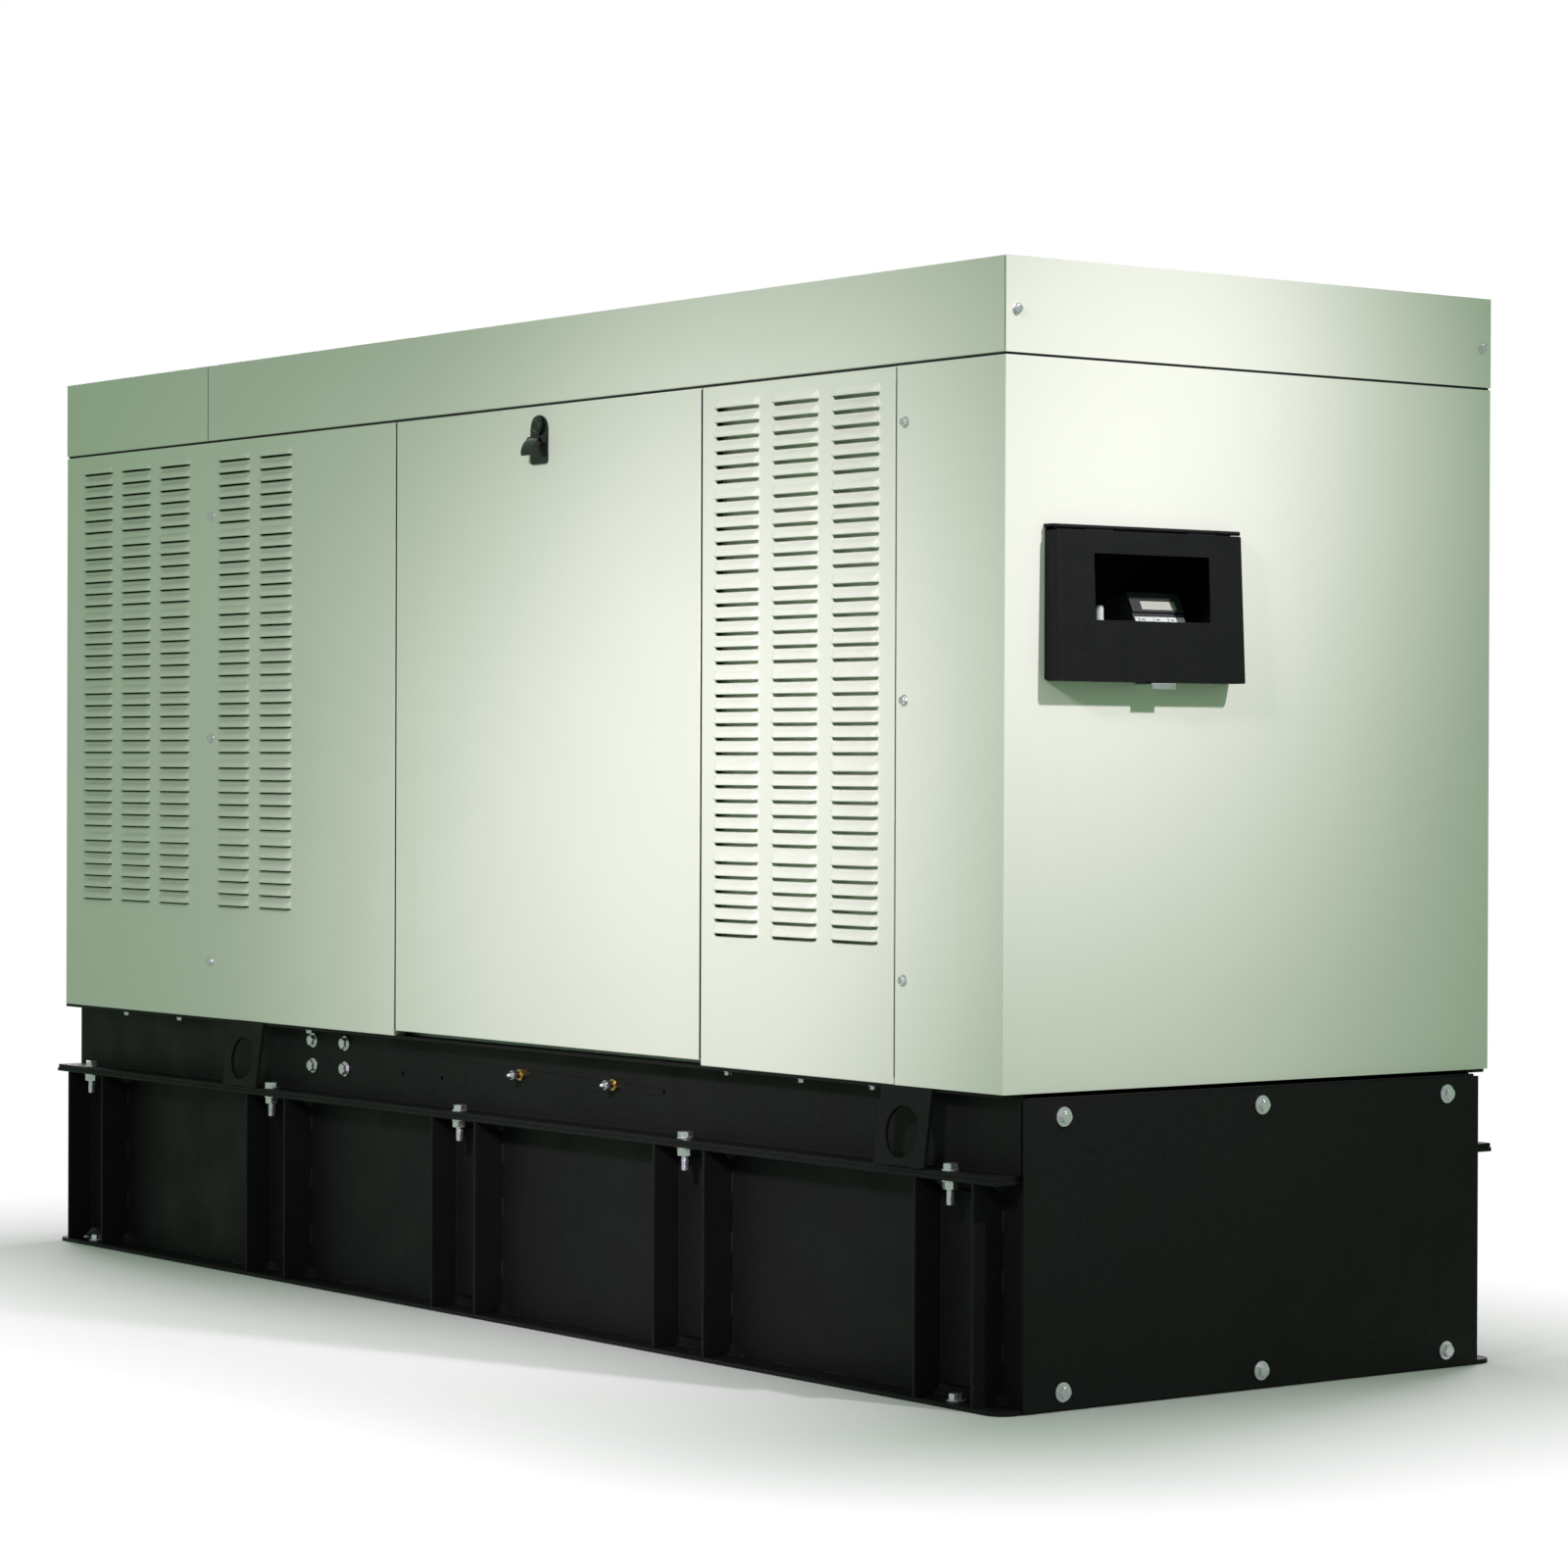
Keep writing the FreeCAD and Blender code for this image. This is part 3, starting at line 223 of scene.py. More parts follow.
def display_glass():
    """Grey-green display with faint unlit segments."""
    look = Look("lcd", Coat_Weight=0.8, Coat_Roughness=0.05)
    brick = look.node("TexBrick")
    brick.inputs["Scale"].default_value = 90
    brick.inputs["Mortar Size"].default_value = 0.03
    for socket, colour in (("Color1", (0.46, 0.52, 0.42)), ("Color2", (0.48, 0.54, 0.44)),
                           ("Mortar", (0.42, 0.48, 0.39))):
        brick.inputs[socket].default_value = (*colour, 1)
    look.link(look.place, brick.inputs["Vector"])
    look.colour(brick.outputs["Color"])
    look.rough(look.spread(look.noise(60, 2), 0.12, 0.2))
    return look.material


def radiator_core():
    """Fins between tubes: fine horizontal and vertical ridges."""
    look = Look("aluminium", Metallic=1.0)
    look.colour(look.mix(look.noise(14, 4), (0.42, 0.43, 0.44), (0.62, 0.63, 0.64)))
    look.rough(look.spread(look.noise(40, 4), 0.35, 0.5))
    wave = look.node("TexWave", bands_direction="Z")
    wave.inputs["Scale"].default_value = 60
    look.link(look.place, wave.inputs["Vector"])
    look.bump((wave.outputs["Fac"], 0.35, 0.001), (look.noise(200, 3), 0.15, 0.0005))
    return look.material


LOOKS = {
    "enclosure_paint": painted_sheet(),
    "base_black": black_coat(),
    "galvanised": plated("galvanised", (0.42, 0.44, 0.45), (0.60, 0.62, 0.63), (0.35, 0.55), 24),
    "zinc": plated("zinc", (0.72, 0.68, 0.78), (0.97, 0.92, 1.00), (0.14, 0.30), 160, metallic=0.9),
    "machined_steel": plated("machined_steel", (0.34, 0.34, 0.35), (0.52, 0.52, 0.53), (0.25, 0.42), 60),
    "brass": plated("brass", (0.52, 0.33, 0.12), (0.78, 0.56, 0.25), (0.20, 0.36), 140),
    "latch_black": gloss_black(),
    "black_plastic": moulded_plastic("black_plastic", (0.0020, 0.0024, 0.0023), (0.0070, 0.0082, 0.0080),
                                     specular=0.14),
    "controller_grey": moulded_plastic("controller_grey", (0.020, 0.026, 0.024), (0.034, 0.042, 0.039)),
    "lcd": display_glass(),
    "key_silver": moulded_plastic("key_silver", (0.50, 0.58, 0.51), (0.62, 0.71, 0.63), (0.25, 0.35), 700),
    "engine_paint": enamel("engine_paint", (0.050, 0.056, 0.060), (0.090, 0.098, 0.104)),
    "generator_paint": enamel("generator_paint", (0.022, 0.024, 0.026), (0.045, 0.048, 0.051)),
    "cast_iron": enamel("cast_iron", (0.070, 0.066, 0.062), (0.130, 0.124, 0.118), (0.5, 0.7)),
    "aluminium": radiator_core(),
    "rubber": rubber(),
    "exhaust_steel": plated("exhaust_steel", (0.26, 0.24, 0.22), (0.50, 0.48, 0.45), (0.38, 0.6), 9),
    "handle_grey": moulded_plastic("handle_grey", (0.34, 0.35, 0.36), (0.45, 0.46, 0.47)),
    "cap_red": moulded_plastic("cap_red", (0.30, 0.018, 0.012), (0.42, 0.030, 0.020), (0.3, 0.45)),
}


# ---------------------------------------------------------------- making pieces
def link_piece(name, mesh, body, slot, replaced=(), smooth=True):
    """Puts a mesh in the scene as a piece of the object."""
    for polygon in mesh.polygons:
        polygon.use_smooth = smooth
    piece = bpy.data.objects.new(name, mesh)
    bpy.context.scene.collection.objects.link(piece)
    mesh.materials.append(LOOKS[slot])
    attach(piece, body)
    if replaced:
        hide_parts(*replaced)
    return piece


def piece_from_bmesh(name, bm, body, slot, replaced=(), smooth=True):
    bmesh.ops.recalc_face_normals(bm, faces=bm.faces)
    mesh = bpy.data.meshes.new(name)
    bm.to_mesh(mesh)
    bm.free()
    return link_piece(name, mesh, body, slot, replaced, smooth)


def modifier(piece, kind, **settings):
    made = piece.modifiers.new(kind.lower(), kind)
    for key, value in settings.items():
        setattr(made, key, value)
    return made


def soften_edges(piece, width, segments=2):
    """Rounds a piece's sharp edges with a narrow bevel."""
    modifier(piece, "WELD", merge_threshold=0.01 * MM)
    modifier(piece, "BEVEL", width=width, segments=segments, limit_method="ANGLE",
             angle_limit=math.radians(35), harden_normals=False)
    modifier(piece, "WEIGHTED_NORMAL", keep_sharp=True)


# ---------------------------------------------------------------- folded and louvred sheets
HALF_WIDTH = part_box("roof_main")[1][1]
HALF_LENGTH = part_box("roof_end_cap")[1][0]
SIDES = ((-1, "front"), (1, "back"))
SHEET = 2.0 * MM                    # thickness
BEND = 2.0 * MM                     # outside radius of a bend
SEAM = 0.8 * MM                     # taken off each upright edge of a panel
TURNED = 22.0 * MM                  # width of a turned-in edge
CORNER_GAP = 1.6 * MM
ROOF_LIP = 16 * MM

LOUVRE_HALF = 50.5 * MM
LOUVRE_PITCH, GROUP_ROWS = 20.2 * MM, 6
LOUVRE_GROUP, LOUVRE_GROUPS = 126.8 * MM, 6
LOUVRE_TOP = 1338.5 * MM
LOUVRE_RISE, LOUVRE_PROUD, LOUVRE_END = 13.0 * MM, 9.0 * MM, 11.0 * MM
LOUVRE_GAP, INTAKE_GAP = 2.4 * MM, 4.4 * MM
SLOT_ROUND = 4.0 * MM
CREST_POWER, CREST_LEAN = 0.85, 0.1  # curve of a hood from its lip up to the flat
GUARD = 0.8 * MM                    # flat row that keeps the pressing off the sheet
COLUMN_PITCH = 134.8 * MM
LEFT_COLUMNS = ([-1166 * MM + COLUMN_PITCH * k for k in range(3)]
                + [-697 * MM + COLUMN_PITCH * k for k in range(2)])
RIGHT_COLUMNS = [701.5 * MM + COLUMN_PITCH * k for k in range(3)]
END_COLUMNS = [x * MM for x in (-267.0, 0.0, 267.0)]
# Grid lines of a louvre: across it from its middle, and up from its lip as shares of its rise.
ACROSS = [x * MM for x in (54.0, 50.5, 49.3, 47.0, 43.0, 36.5, 22.0)]
ACROSS = [-x for x in ACROSS] + [0.0] + ACROSS[::-1]
UP = [0.0, 0.10, 0.24, 0.42, 0.62, 0.82, 1.0]

GRILLE_X = (-1205 * MM, -865 * MM)
GRILLE_HALF = 330 * MM
GRILLE_BARS = 20
BAR_HALVES = (1.2 * MM, GRILLE_HALF, 9 * MM)
BAR_LEAN, BAR_DROP = math.radians(35), 10 * MM
RIB_Y, RIB_HALF = [y * MM for y in (-165, 0, 165)], 1.5 * MM
RIB_DEPTHS = (16 * MM, 3 * MM)      # bottom and top, below the roof

CONTROL_Y = (-368 * MM, -65 * MM)   # the control box opening
CONTROL_Z = (962 * MM, 1141 * MM)
TAB_Y = (-221 * MM, -179 * MM)
TAB_TOP, TAB_DROP = 949 * MM, 8 * MM
PADLOCK_X, PADLOCK_RADIUS, PADLOCK_STEPS = 1306 * MM, 4 * MM, 28


def thicken(piece):
    """Gives a surface its sheet thickness, inward, and keeps its flats flat."""
    modifier(piece, "SOLIDIFY", thickness=SHEET, offset=-1)
    modifier(piece, "WEIGHTED_NORMAL", keep_sharp=True, weight=80)
    return piece


def louvre_rows():
    return [LOUVRE_TOP - LOUVRE_GROUP * group - LOUVRE_PITCH * row
            for group in range(LOUVRE_GROUPS) for row in range(GROUP_ROWS)]


def louvre_height(offset, rise):
    """How far the pressed hood stands out, across its width and up from its lip."""
    from_end = LOUVRE_HALF - abs(offset)
    if from_end <= 0 or not 0 <= rise < 1:
        return 0.0
    reach = min(from_end / LOUVRE_END, 1.0)
    end = math.sqrt(1 - (1 - reach) ** 2)
    crest = 1 - rise
    ramp = math.sin(crest * math.pi / 2) ** CREST_POWER * (1 - CREST_LEAN + CREST_LEAN * crest)
    return LOUVRE_PROUD * end * ramp


def slot_drop(offset, gap):
    """How far a slot opens below its lip: the full gap, rounded off at its ends."""
    from_end = max(LOUVRE_HALF - abs(offset), 0.0)
    if from_end >= SLOT_ROUND:
        return gap
    return gap * math.sqrt(1 - (1 - from_end / SLOT_ROUND) ** 2)


def sheet_piece(name, u_range, v_range, columns, place, flip, body, node, gap=LOUVRE_GAP):
    """A sheet with four turned edges and louvres down each column.

    place(u, v, out) gives the point at u along the sheet, v up it and out from its face."""
    u0, u1 = u_range[0] + BEND + SEAM, u_range[1] - BEND - SEAM
    v0, v1 = v_range[0] + BEND, v_range[1] - BEND
    us = {u0: None, u1: None}
    vs = {v0: None, v1: None}
    for column in columns:
        us.update({column + offset: (column, offset) for offset in ACROSS})
    if columns:
        for lip in louvre_rows():
            vs.update({lip - gap - GUARD: None, lip - gap: (lip, None)})
            vs.update({lip + rise * LOUVRE_RISE: (lip, rise) for rise in UP})
            vs[lip + LOUVRE_RISE + GUARD] = None
    us, vs = dict(sorted(us.items())), dict(sorted(vs.items()))
    bm = bmesh.new()
    grid = []
    for u, column in us.items():
        line = []
        for v, louvre in vs.items():
            out = 0.0
            if column and louvre:
                lip, rise = louvre
                if rise is None:
                    v = lip - slot_drop(column[1], gap)
                else:
                    out = louvre_height(column[1], rise)
            line.append(bm.verts.new(place(u, v, out)))
        grid.append(line)
    u_list, v_list = list(us.items()), list(vs.items())
    for i in range(len(u_list) - 1):
        left, right = u_list[i][1], u_list[i + 1][1]
        slotted = bool(left and right and left[0] == right[0]
                       and max(abs(left[1]), abs(right[1])) <= LOUVRE_HALF)
        for j in range(len(v_list) - 1):
            above = v_list[j + 1][1]
            if slotted and above and above[1] == 0.0:
                continue
            bm.faces.new((grid[i][j], grid[i + 1][j], grid[i + 1][j + 1], grid[i][j + 1]))
    turn_edges(bm, grid, [u for u, _ in u_list], [v for v, _ in v_list], place)
    if flip:
        for face in bm.faces:
            face.normal_flip()
    mesh = bpy.data.meshes.new(name)
    bm.to_mesh(mesh)
    bm.free()
    return thicken(link_piece(name, mesh, body, "enclosure_paint", (node,)))


def turn_edges(bm, grid, us, vs, place):
    """Folds the four edges of a sheet back through a rounded bend."""
    last_u, last_v = len(us) - 1, len(vs) - 1
    border = ([(i, 0, 0, -1) for i in range(last_u)]
              + [(last_u, j, 1, 0) for j in range(last_v)]
              + [(i, last_v, 0, 1) for i in range(last_u, 0, -1)]
              + [(0, j, -1, 0) for j in range(last_v, 0, -1)])
    corners = {(0, 0): (-1, -1), (last_u, 0): (1, -1), (last_u, last_v): (1, 1), (0, last_v): (-1, 1)}
    steps = [(math.sin(a) * BEND, -(1 - math.cos(a)) * BEND) for a in map(math.radians, (30, 60, 90))]
    steps.append((BEND, -TURNED))
    rings = [[grid[i][j] for i, j, _, _ in border]]
    for away, out in steps:
        ring = []
        for i, j, side_u, side_v in border:
            side_u, side_v = corners.get((i, j), (side_u, side_v))
            ring.append(bm.verts.new(place(us[i] + side_u * away, vs[j] + side_v * away, out)))
        rings.append(ring)
    for inner, outer in zip(rings, rings[1:]):
        for k in range(len(inner)):
            n = (k + 1) % len(inner)
            bm.faces.new((inner[k], outer[k], outer[n], inner[n]))


def side_place(side):
    """Places a sheet on a long side: side is -1 for the front and 1 for the back."""
    def place(u, v, out):
        return (u, side * (HALF_WIDTH + out), v)
    return place


def end_place(u, v, out):
    return (-HALF_LENGTH - out, u, v)


def make_side_sheets():
    for side, word in SIDES:
        place = side_place(side)
        for part, columns, body, gap in (("side_panel", LEFT_COLUMNS, "base", LOUVRE_GAP),
                                         ("intake_panel", RIGHT_COLUMNS, "base", INTAKE_GAP),
                                         ("door", [], f"door_{word}_body", LOUVRE_GAP)):
            node = f"{part}_{word}"
            low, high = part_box(node)
            sheet_piece(f"{node}_sheet", (low[0], high[0]), (low[2], high[2]), columns, place,
                        side > 0, body, node, gap)


def make_discharge_end():
    low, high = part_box("discharge_end_panel")
    sheet_piece("discharge_end_sheet", (low[1], high[1]), (low[2], high[2]), END_COLUMNS, end_place,
                True, "base", "discharge_end_panel")


def folded_outline(points):
    """A path with its inner corners rounded to the bend radius."""
    points = [Vector(p) for p in points]
    outline = [points[0]]
    for before, corner, after in zip(points, points[1:], points[2:]):
        straight = abs((corner - before).normalized().dot((after - corner).normalized())) > 0.99
        if straight:
            outline.append(corner)
            continue
        a = (before - corner).normalized() * BEND
        b = (after - corner).normalized() * BEND
        centre = corner + a + b
        for degrees in (0, 22.5, 45, 67.5, 90):
            t = math.radians(degrees)
            outline.append(centre - b * math.cos(t) - a * math.sin(t))
    outline.append(points[-1])
    return outline


def swept_sheet(name, outline, along, lengths, skip, body, node):
    """A folded outline run along an axis; skip(middle) leaves a cell open."""
    bm = bmesh.new()
    rows = [[bm.verts.new(point + along * length) for point in outline] for length in lengths]
    for near, far in zip(rows, rows[1:]):
        for k in range(len(outline) - 1):
            middle = (near[k].co + near[k + 1].co + far[k].co + far[k + 1].co) / 4
            if not skip(middle):
                bm.faces.new((near[k], near[k + 1], far[k + 1], far[k]))
    loose = [vertex for vertex in bm.verts if not vertex.link_faces]
    bmesh.ops.delete(bm, geom=loose, context="VERTS")
    return thicken(piece_from_bmesh(name, bm, body, "enclosure_paint", (node,)))


def make_roof():
    """Both roof sections: folded skirts, with the discharge opening left open in the top."""
    low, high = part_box("roof_main")
    foot, top = low[2], high[2]
    lip = HALF_WIDTH - ROOF_LIP
    outline = folded_outline([
        (0, -lip, foot), (0, -HALF_WIDTH, foot), (0, -HALF_WIDTH, top), (0, -GRILLE_HALF, top),
        (0, GRILLE_HALF, top), (0, HALF_WIDTH, top), (0, HALF_WIDTH, foot), (0, lip, foot)])
    swept_sheet("roof_main_sheet", outline, Vector((1, 0, 0)), (low[0] + SEAM, high[0] - CORNER_GAP),
                lambda middle: False, "base", "roof_main")
    left_low, left_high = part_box("roof_discharge")
    gx0, gx1 = GRILLE_X

    def in_opening(middle):
        return gx0 < middle.x < gx1 and abs(middle.y) < GRILLE_HALF and middle.z > top - MM

    lengths = (left_low[0] + SHEET * 0.5, gx0, gx1, left_high[0] - SEAM)
    swept_sheet("roof_discharge_sheet", outline, Vector((1, 0, 0)), lengths, in_opening, "base",
                "roof_discharge")


def block(bm, *ranges):
    """Adds a box over its X, Y and Z ranges."""
    size = [high - low for low, high in ranges]
    centre = [(low + high) / 2 for low, high in ranges]
    matrix = Matrix.Translation(centre) @ Matrix.Diagonal((*size, 1))
    return bmesh.ops.create_cube(bm, size=1, matrix=matrix)["verts"]


def make_roof_details():
    """Leaning bars and ribs of the discharge opening, and the closed end of that roof section."""
    low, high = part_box("roof_discharge")
    top = high[2]
    bm = bmesh.new()
    pitch = (GRILLE_X[1] - GRILLE_X[0]) / GRILLE_BARS
    for i in range(GRILLE_BARS):
        x = GRILLE_X[0] + pitch * (i + 0.5)
        bar = block(bm, *((-half, half) for half in BAR_HALVES))
        tilt = Matrix.Translation((x, 0, top - BAR_DROP)) @ Matrix.Rotation(BAR_LEAN, 4, "Y")
        bmesh.ops.transform(bm, matrix=tilt, verts=bar)
    for y in RIB_Y:
        block(bm, GRILLE_X, (y - RIB_HALF, y + RIB_HALF), (top - RIB_DEPTHS[0], top - RIB_DEPTHS[1]))
    piece_from_bmesh("discharge_grille_bars", bm, "base", "enclosure_paint", smooth=False)
    bm = bmesh.new()
    block(bm, (low[0], low[0] + SHEET), (-HALF_WIDTH, HALF_WIDTH), (low[2], top))
    end = piece_from_bmesh("roof_discharge_end", bm, "base", "enclosure_paint", smooth=False)
    soften_edges(end, 0.9 * MM)


def make_control_end():
    """C-shaped end sheet with rounded corners and the control box opening."""
    low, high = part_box("control_end_panel")
    corner_x, end_x = low[0], HALF_LENGTH
    inner = HALF_WIDTH - TURNED
    outline = folded_outline([
        (corner_x, -inner, 0), (corner_x, -HALF_WIDTH, 0), (end_x, -HALF_WIDTH, 0), (end_x, CONTROL_Y[0], 0),
        (end_x, CONTROL_Y[1], 0), (end_x, HALF_WIDTH, 0), (corner_x, HALF_WIDTH, 0), (corner_x, inner, 0)])

    def in_hole(middle):
        return (middle.x > end_x - MM and CONTROL_Y[0] < middle.y < CONTROL_Y[1]
                and CONTROL_Z[0] < middle.z < CONTROL_Z[1])

    swept_sheet("control_end_sheet", outline, Vector((0, 0, 1)), (low[2], *CONTROL_Z, high[2]), in_hole,
                "base", "control_end_panel")
    make_padlock_tab(end_x, high[0])


def make_padlock_tab(root_x, tip_x):
    """The bent tab under the lid, with its padlock hole, in darker galvanised steel as painted shade for the
    lid's shadow over it.
    """
    y0, y1 = TAB_Y
    under = TAB_TOP - SHEET
    bm = bmesh.new()
    plate = [bm.verts.new((x, y, under)) for x, y in
             ((root_x - SHEET, y0), (tip_x - SHEET, y0), (tip_x - SHEET, y1), (root_x - SHEET, y1))]
    hole = []
    for step in range(PADLOCK_STEPS):
        angle = 2 * math.pi * step / PADLOCK_STEPS
        x, y = PADLOCK_RADIUS * math.cos(angle), PADLOCK_RADIUS * math.sin(angle)
        hole.append(bm.verts.new((PADLOCK_X + x, (y0 + y1) / 2 + y, under)))
    rims = [bm.edges.new((loop[i - 1], loop[i])) for loop in (plate, hole) for i in range(len(loop))]
    filled = bmesh.ops.triangle_fill(bm, edges=rims, use_beauty=True, use_dissolve=False)
    faces = [item for item in filled["geom"] if isinstance(item, bmesh.types.BMFace)]
    grown = bmesh.ops.extrude_face_region(bm, geom=faces, use_keep_orig=True)
    top_verts = [item for item in grown["geom"] if isinstance(item, bmesh.types.BMVert)]
    bmesh.ops.translate(bm, verts=top_verts, vec=(0, 0, SHEET))
    bmesh.ops.recalc_face_normals(bm, faces=bm.faces)
    block(bm, (tip_x - SHEET, tip_x), TAB_Y, (TAB_TOP - TAB_DROP, TAB_TOP))
    # the darker galvanised finish is painted shade: it stands in for the shadow the lid casts on the tab
    tab = piece_from_bmesh("padlock_tab", bm, "base", "galvanised", smooth=False)
    soften_edges(tab, 0.5 * MM)


# ---------------------------------------------------------------- sound lining, roof gasket and painted seam shade
FOAM = 12 * MM
BAFFLE_FACE = 421 * MM              # outer face of a side baffle
BAFFLE_Z = (425 * MM, 1350 * MM)
DISCHARGE_BAFFLE_X = (-1255 * MM, -625 * MM)
INTAKE_BAFFLE_X = (634 * MM, 1040 * MM)
END_BAFFLE_X, END_BAFFLE_Y = (-1252 * MM, -1240 * MM), (-375 * MM, 375 * MM)
DOOR_FOAM_DEPTHS = (2.4 * MM, 14 * MM)
DOOR_FOAM_SIDE, DOOR_FOAM_FOOT, DOOR_FOAM_HEAD = 108 * MM, 30 * MM, 95 * MM
GASKET_WIDTH, GASKET_INSET = 15 * MM, 2.5 * MM
# depths of the dark seam strips, which paint in the shade deep in each seam
SEAM_SHADE_DEPTHS = (0.9 * MM, 18 * MM)
SEAM_SHADE_CLEARANCE = 0.1 * MM


def mirrored(side, outer, inner):
    """The range between two distances from the middle, on one side of it."""
    return sorted((side * outer, side * inner))


def foam_slab(name, x, y, z, body, slot="rubber"):
    """A slab of acoustic foam, or of painted sheet, with soft edges, over its three ranges."""
    bm = bmesh.new()
    block(bm, x, y, z)
    slab = piece_from_bmesh(name, bm, body, slot, smooth=False)
    modifier(slab, "BEVEL", width=3 * MM, segments=2)


def make_sound_lining():
    """Baffles behind the louvres, foam inside both doors and the gasket under the roof."""
    for side, word in SIDES:
        y = mirrored(side, BAFFLE_FACE, BAFFLE_FACE - FOAM)
        foam_slab(f"discharge_baffle_{word}", DISCHARGE_BAFFLE_X, y, BAFFLE_Z, "base")
        foam_slab(f"intake_baffle_{word}", INTAKE_BAFFLE_X, y, BAFFLE_Z, "base", "enclosure_paint")
        low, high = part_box(f"door_{word}")
        foam_slab(f"door_foam_{word}", (low[0] + DOOR_FOAM_SIDE, high[0] - DOOR_FOAM_SIDE),
                  mirrored(side, *(HALF_WIDTH - depth for depth in DOOR_FOAM_DEPTHS)),
                  (low[2] + DOOR_FOAM_FOOT, high[2] - DOOR_FOAM_HEAD), f"door_{word}_body")
    bm = bmesh.new()
    z = (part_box("door_front")[1][2] + 0.4 * MM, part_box("roof_main")[0][2] - 0.3 * MM)
    end, half = HALF_LENGTH - GASKET_INSET, HALF_WIDTH - GASKET_INSET
    for side in (-1, 1):
        block(bm, (-end, end), mirrored(side, half, half - GASKET_WIDTH), z)
        block(bm, mirrored(side, end, end - GASKET_WIDTH), (GASKET_WIDTH - half, half - GASKET_WIDTH), z)
    piece_from_bmesh("roof_gasket", bm, "base", "rubber", smooth=False)
    foam_slab("discharge_baffle_end", END_BAFFLE_X, END_BAFFLE_Y, BAFFLE_Z, "base")


def make_seam_shade_strips():
    """Dark rubber set into the upright gaps between the side panels, the door and the corner sheet: painted
    shade that stands in for the shadow deep in each seam.
    """
    bm = bmesh.new()
    for side, word in SIDES:
        row = [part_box(f"{part}_{word}") for part in ("side_panel", "door", "intake_panel")]
        z = (row[1][0][2] + BEND, row[1][1][2] - BEND)
        ends = [right[0][0] + SEAM for right in row[1:]] + [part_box("control_end_panel")[0][0]]
        y = mirrored(side, *(HALF_WIDTH - depth for depth in SEAM_SHADE_DEPTHS))
        for left, end in zip(row, ends):
            block(bm, (left[1][0] - SEAM + SEAM_SHADE_CLEARANCE, end - SEAM_SHADE_CLEARANCE), y, z)
    # the dark strips are painted shade for the shadow that falls deep in each seam
    piece_from_bmesh("seam_shade_strips", bm, "base", "rubber", smooth=False)


# ---------------------------------------------------------------- fasteners
def lathe(bm, profile, steps=24, radius_at=None):
    """Turns (radius, height) points round Z; radius_at(r, angle, height) may reshape a ring."""
    rings = []
    for radius, height in profile:
        ring = []
        for k in range(steps):
            angle = 2 * math.pi * k / steps
            r = radius_at(radius, angle, height) if radius_at else radius
            ring.append(bm.verts.new((r * math.cos(angle), r * math.sin(angle), height)))
        rings.append(ring)
    for inner, outer in zip(rings, rings[1:]):
        for k in range(steps):
            n = (k + 1) % steps
            bm.faces.new((inner[k], inner[n], outer[n], outer[k]))
    bm.faces.new(rings[0][::-1])
    bm.faces.new(rings[-1])
    return [vertex for ring in rings for vertex in ring]


def in_mm(*points):
    """Points written in millimetres, as metres."""
    return [tuple(value * MM for value in point) for point in points]


def hex_body(bm, across_flats, base, height):
    """A hexagon with the turned chamfer and low crown of a real bolt head or nut."""
    half = across_flats / 2
    corner = half / math.cos(math.pi / 6)
    chamfer = (corner - half) * 0.62
    inset = corner - half * 0.97
    top = base + height
    profile = [(corner, base), (corner, top - chamfer)]
    profile += [(corner - inset * t, top - chamfer * (1 - t)) for t in (0.35, 0.7, 1.0)]

    def hexed(radius, angle, level):
        from_flat = (angle + math.pi / 6) % (math.pi / 3) - math.pi / 6
        return min(radius, half / math.cos(from_flat))

    crown = [(half * 0.80, top - 0.1 * MM), (half * 0.76, top + 0.12 * MM), (half * 0.2, top + 0.2 * MM)]
    return lathe(bm, profile, 48, hexed) + lathe(bm, crown)


def threaded(bm, radius, base, height, pitch=1.75 * MM):
    """A stud with rolled thread ridges and a pointed end."""
    profile = []
    turns = int(height / pitch)
    for k in range(turns):
        profile += [(radius * 0.90, base + k * pitch), (radius, base + (k + 0.5) * pitch)]
    profile += [(radius * 0.90, base + turns * pitch), (radius * 0.72, base + height)]
    return lathe(bm, profile, 20)


def washer(bm, radius, base, thick):
    edge = min(0.4 * MM, thick / 3)
    return lathe(bm, [(radius - edge, base), (radius, base + edge), (radius, base + thick - edge),
                      (radius - edge, base + thick)], 36)


def skirt(bm, radius, base, thick, top_radius):
    """The flared flange under a small hex head."""
    return lathe(bm, [(radius * 0.97, base), (radius, base + thick * 0.35),
                      (radius * 0.96, base + thick * 0.6), (top_radius, base + thick)], 36)


def stand(bm, vertices, at, axis):
    """Turns new vertices so their +Z lies along an axis, with a random spin, and puts them in place."""
    spin = Matrix.Rotation(rng.uniform(0, math.pi), 4, "Z")
    turn = Vector(axis).to_track_quat("Z", "Y").to_matrix().to_4x4()
    bmesh.ops.transform(bm, matrix=Matrix.Translation(at) @ turn @ spin, verts=vertices)


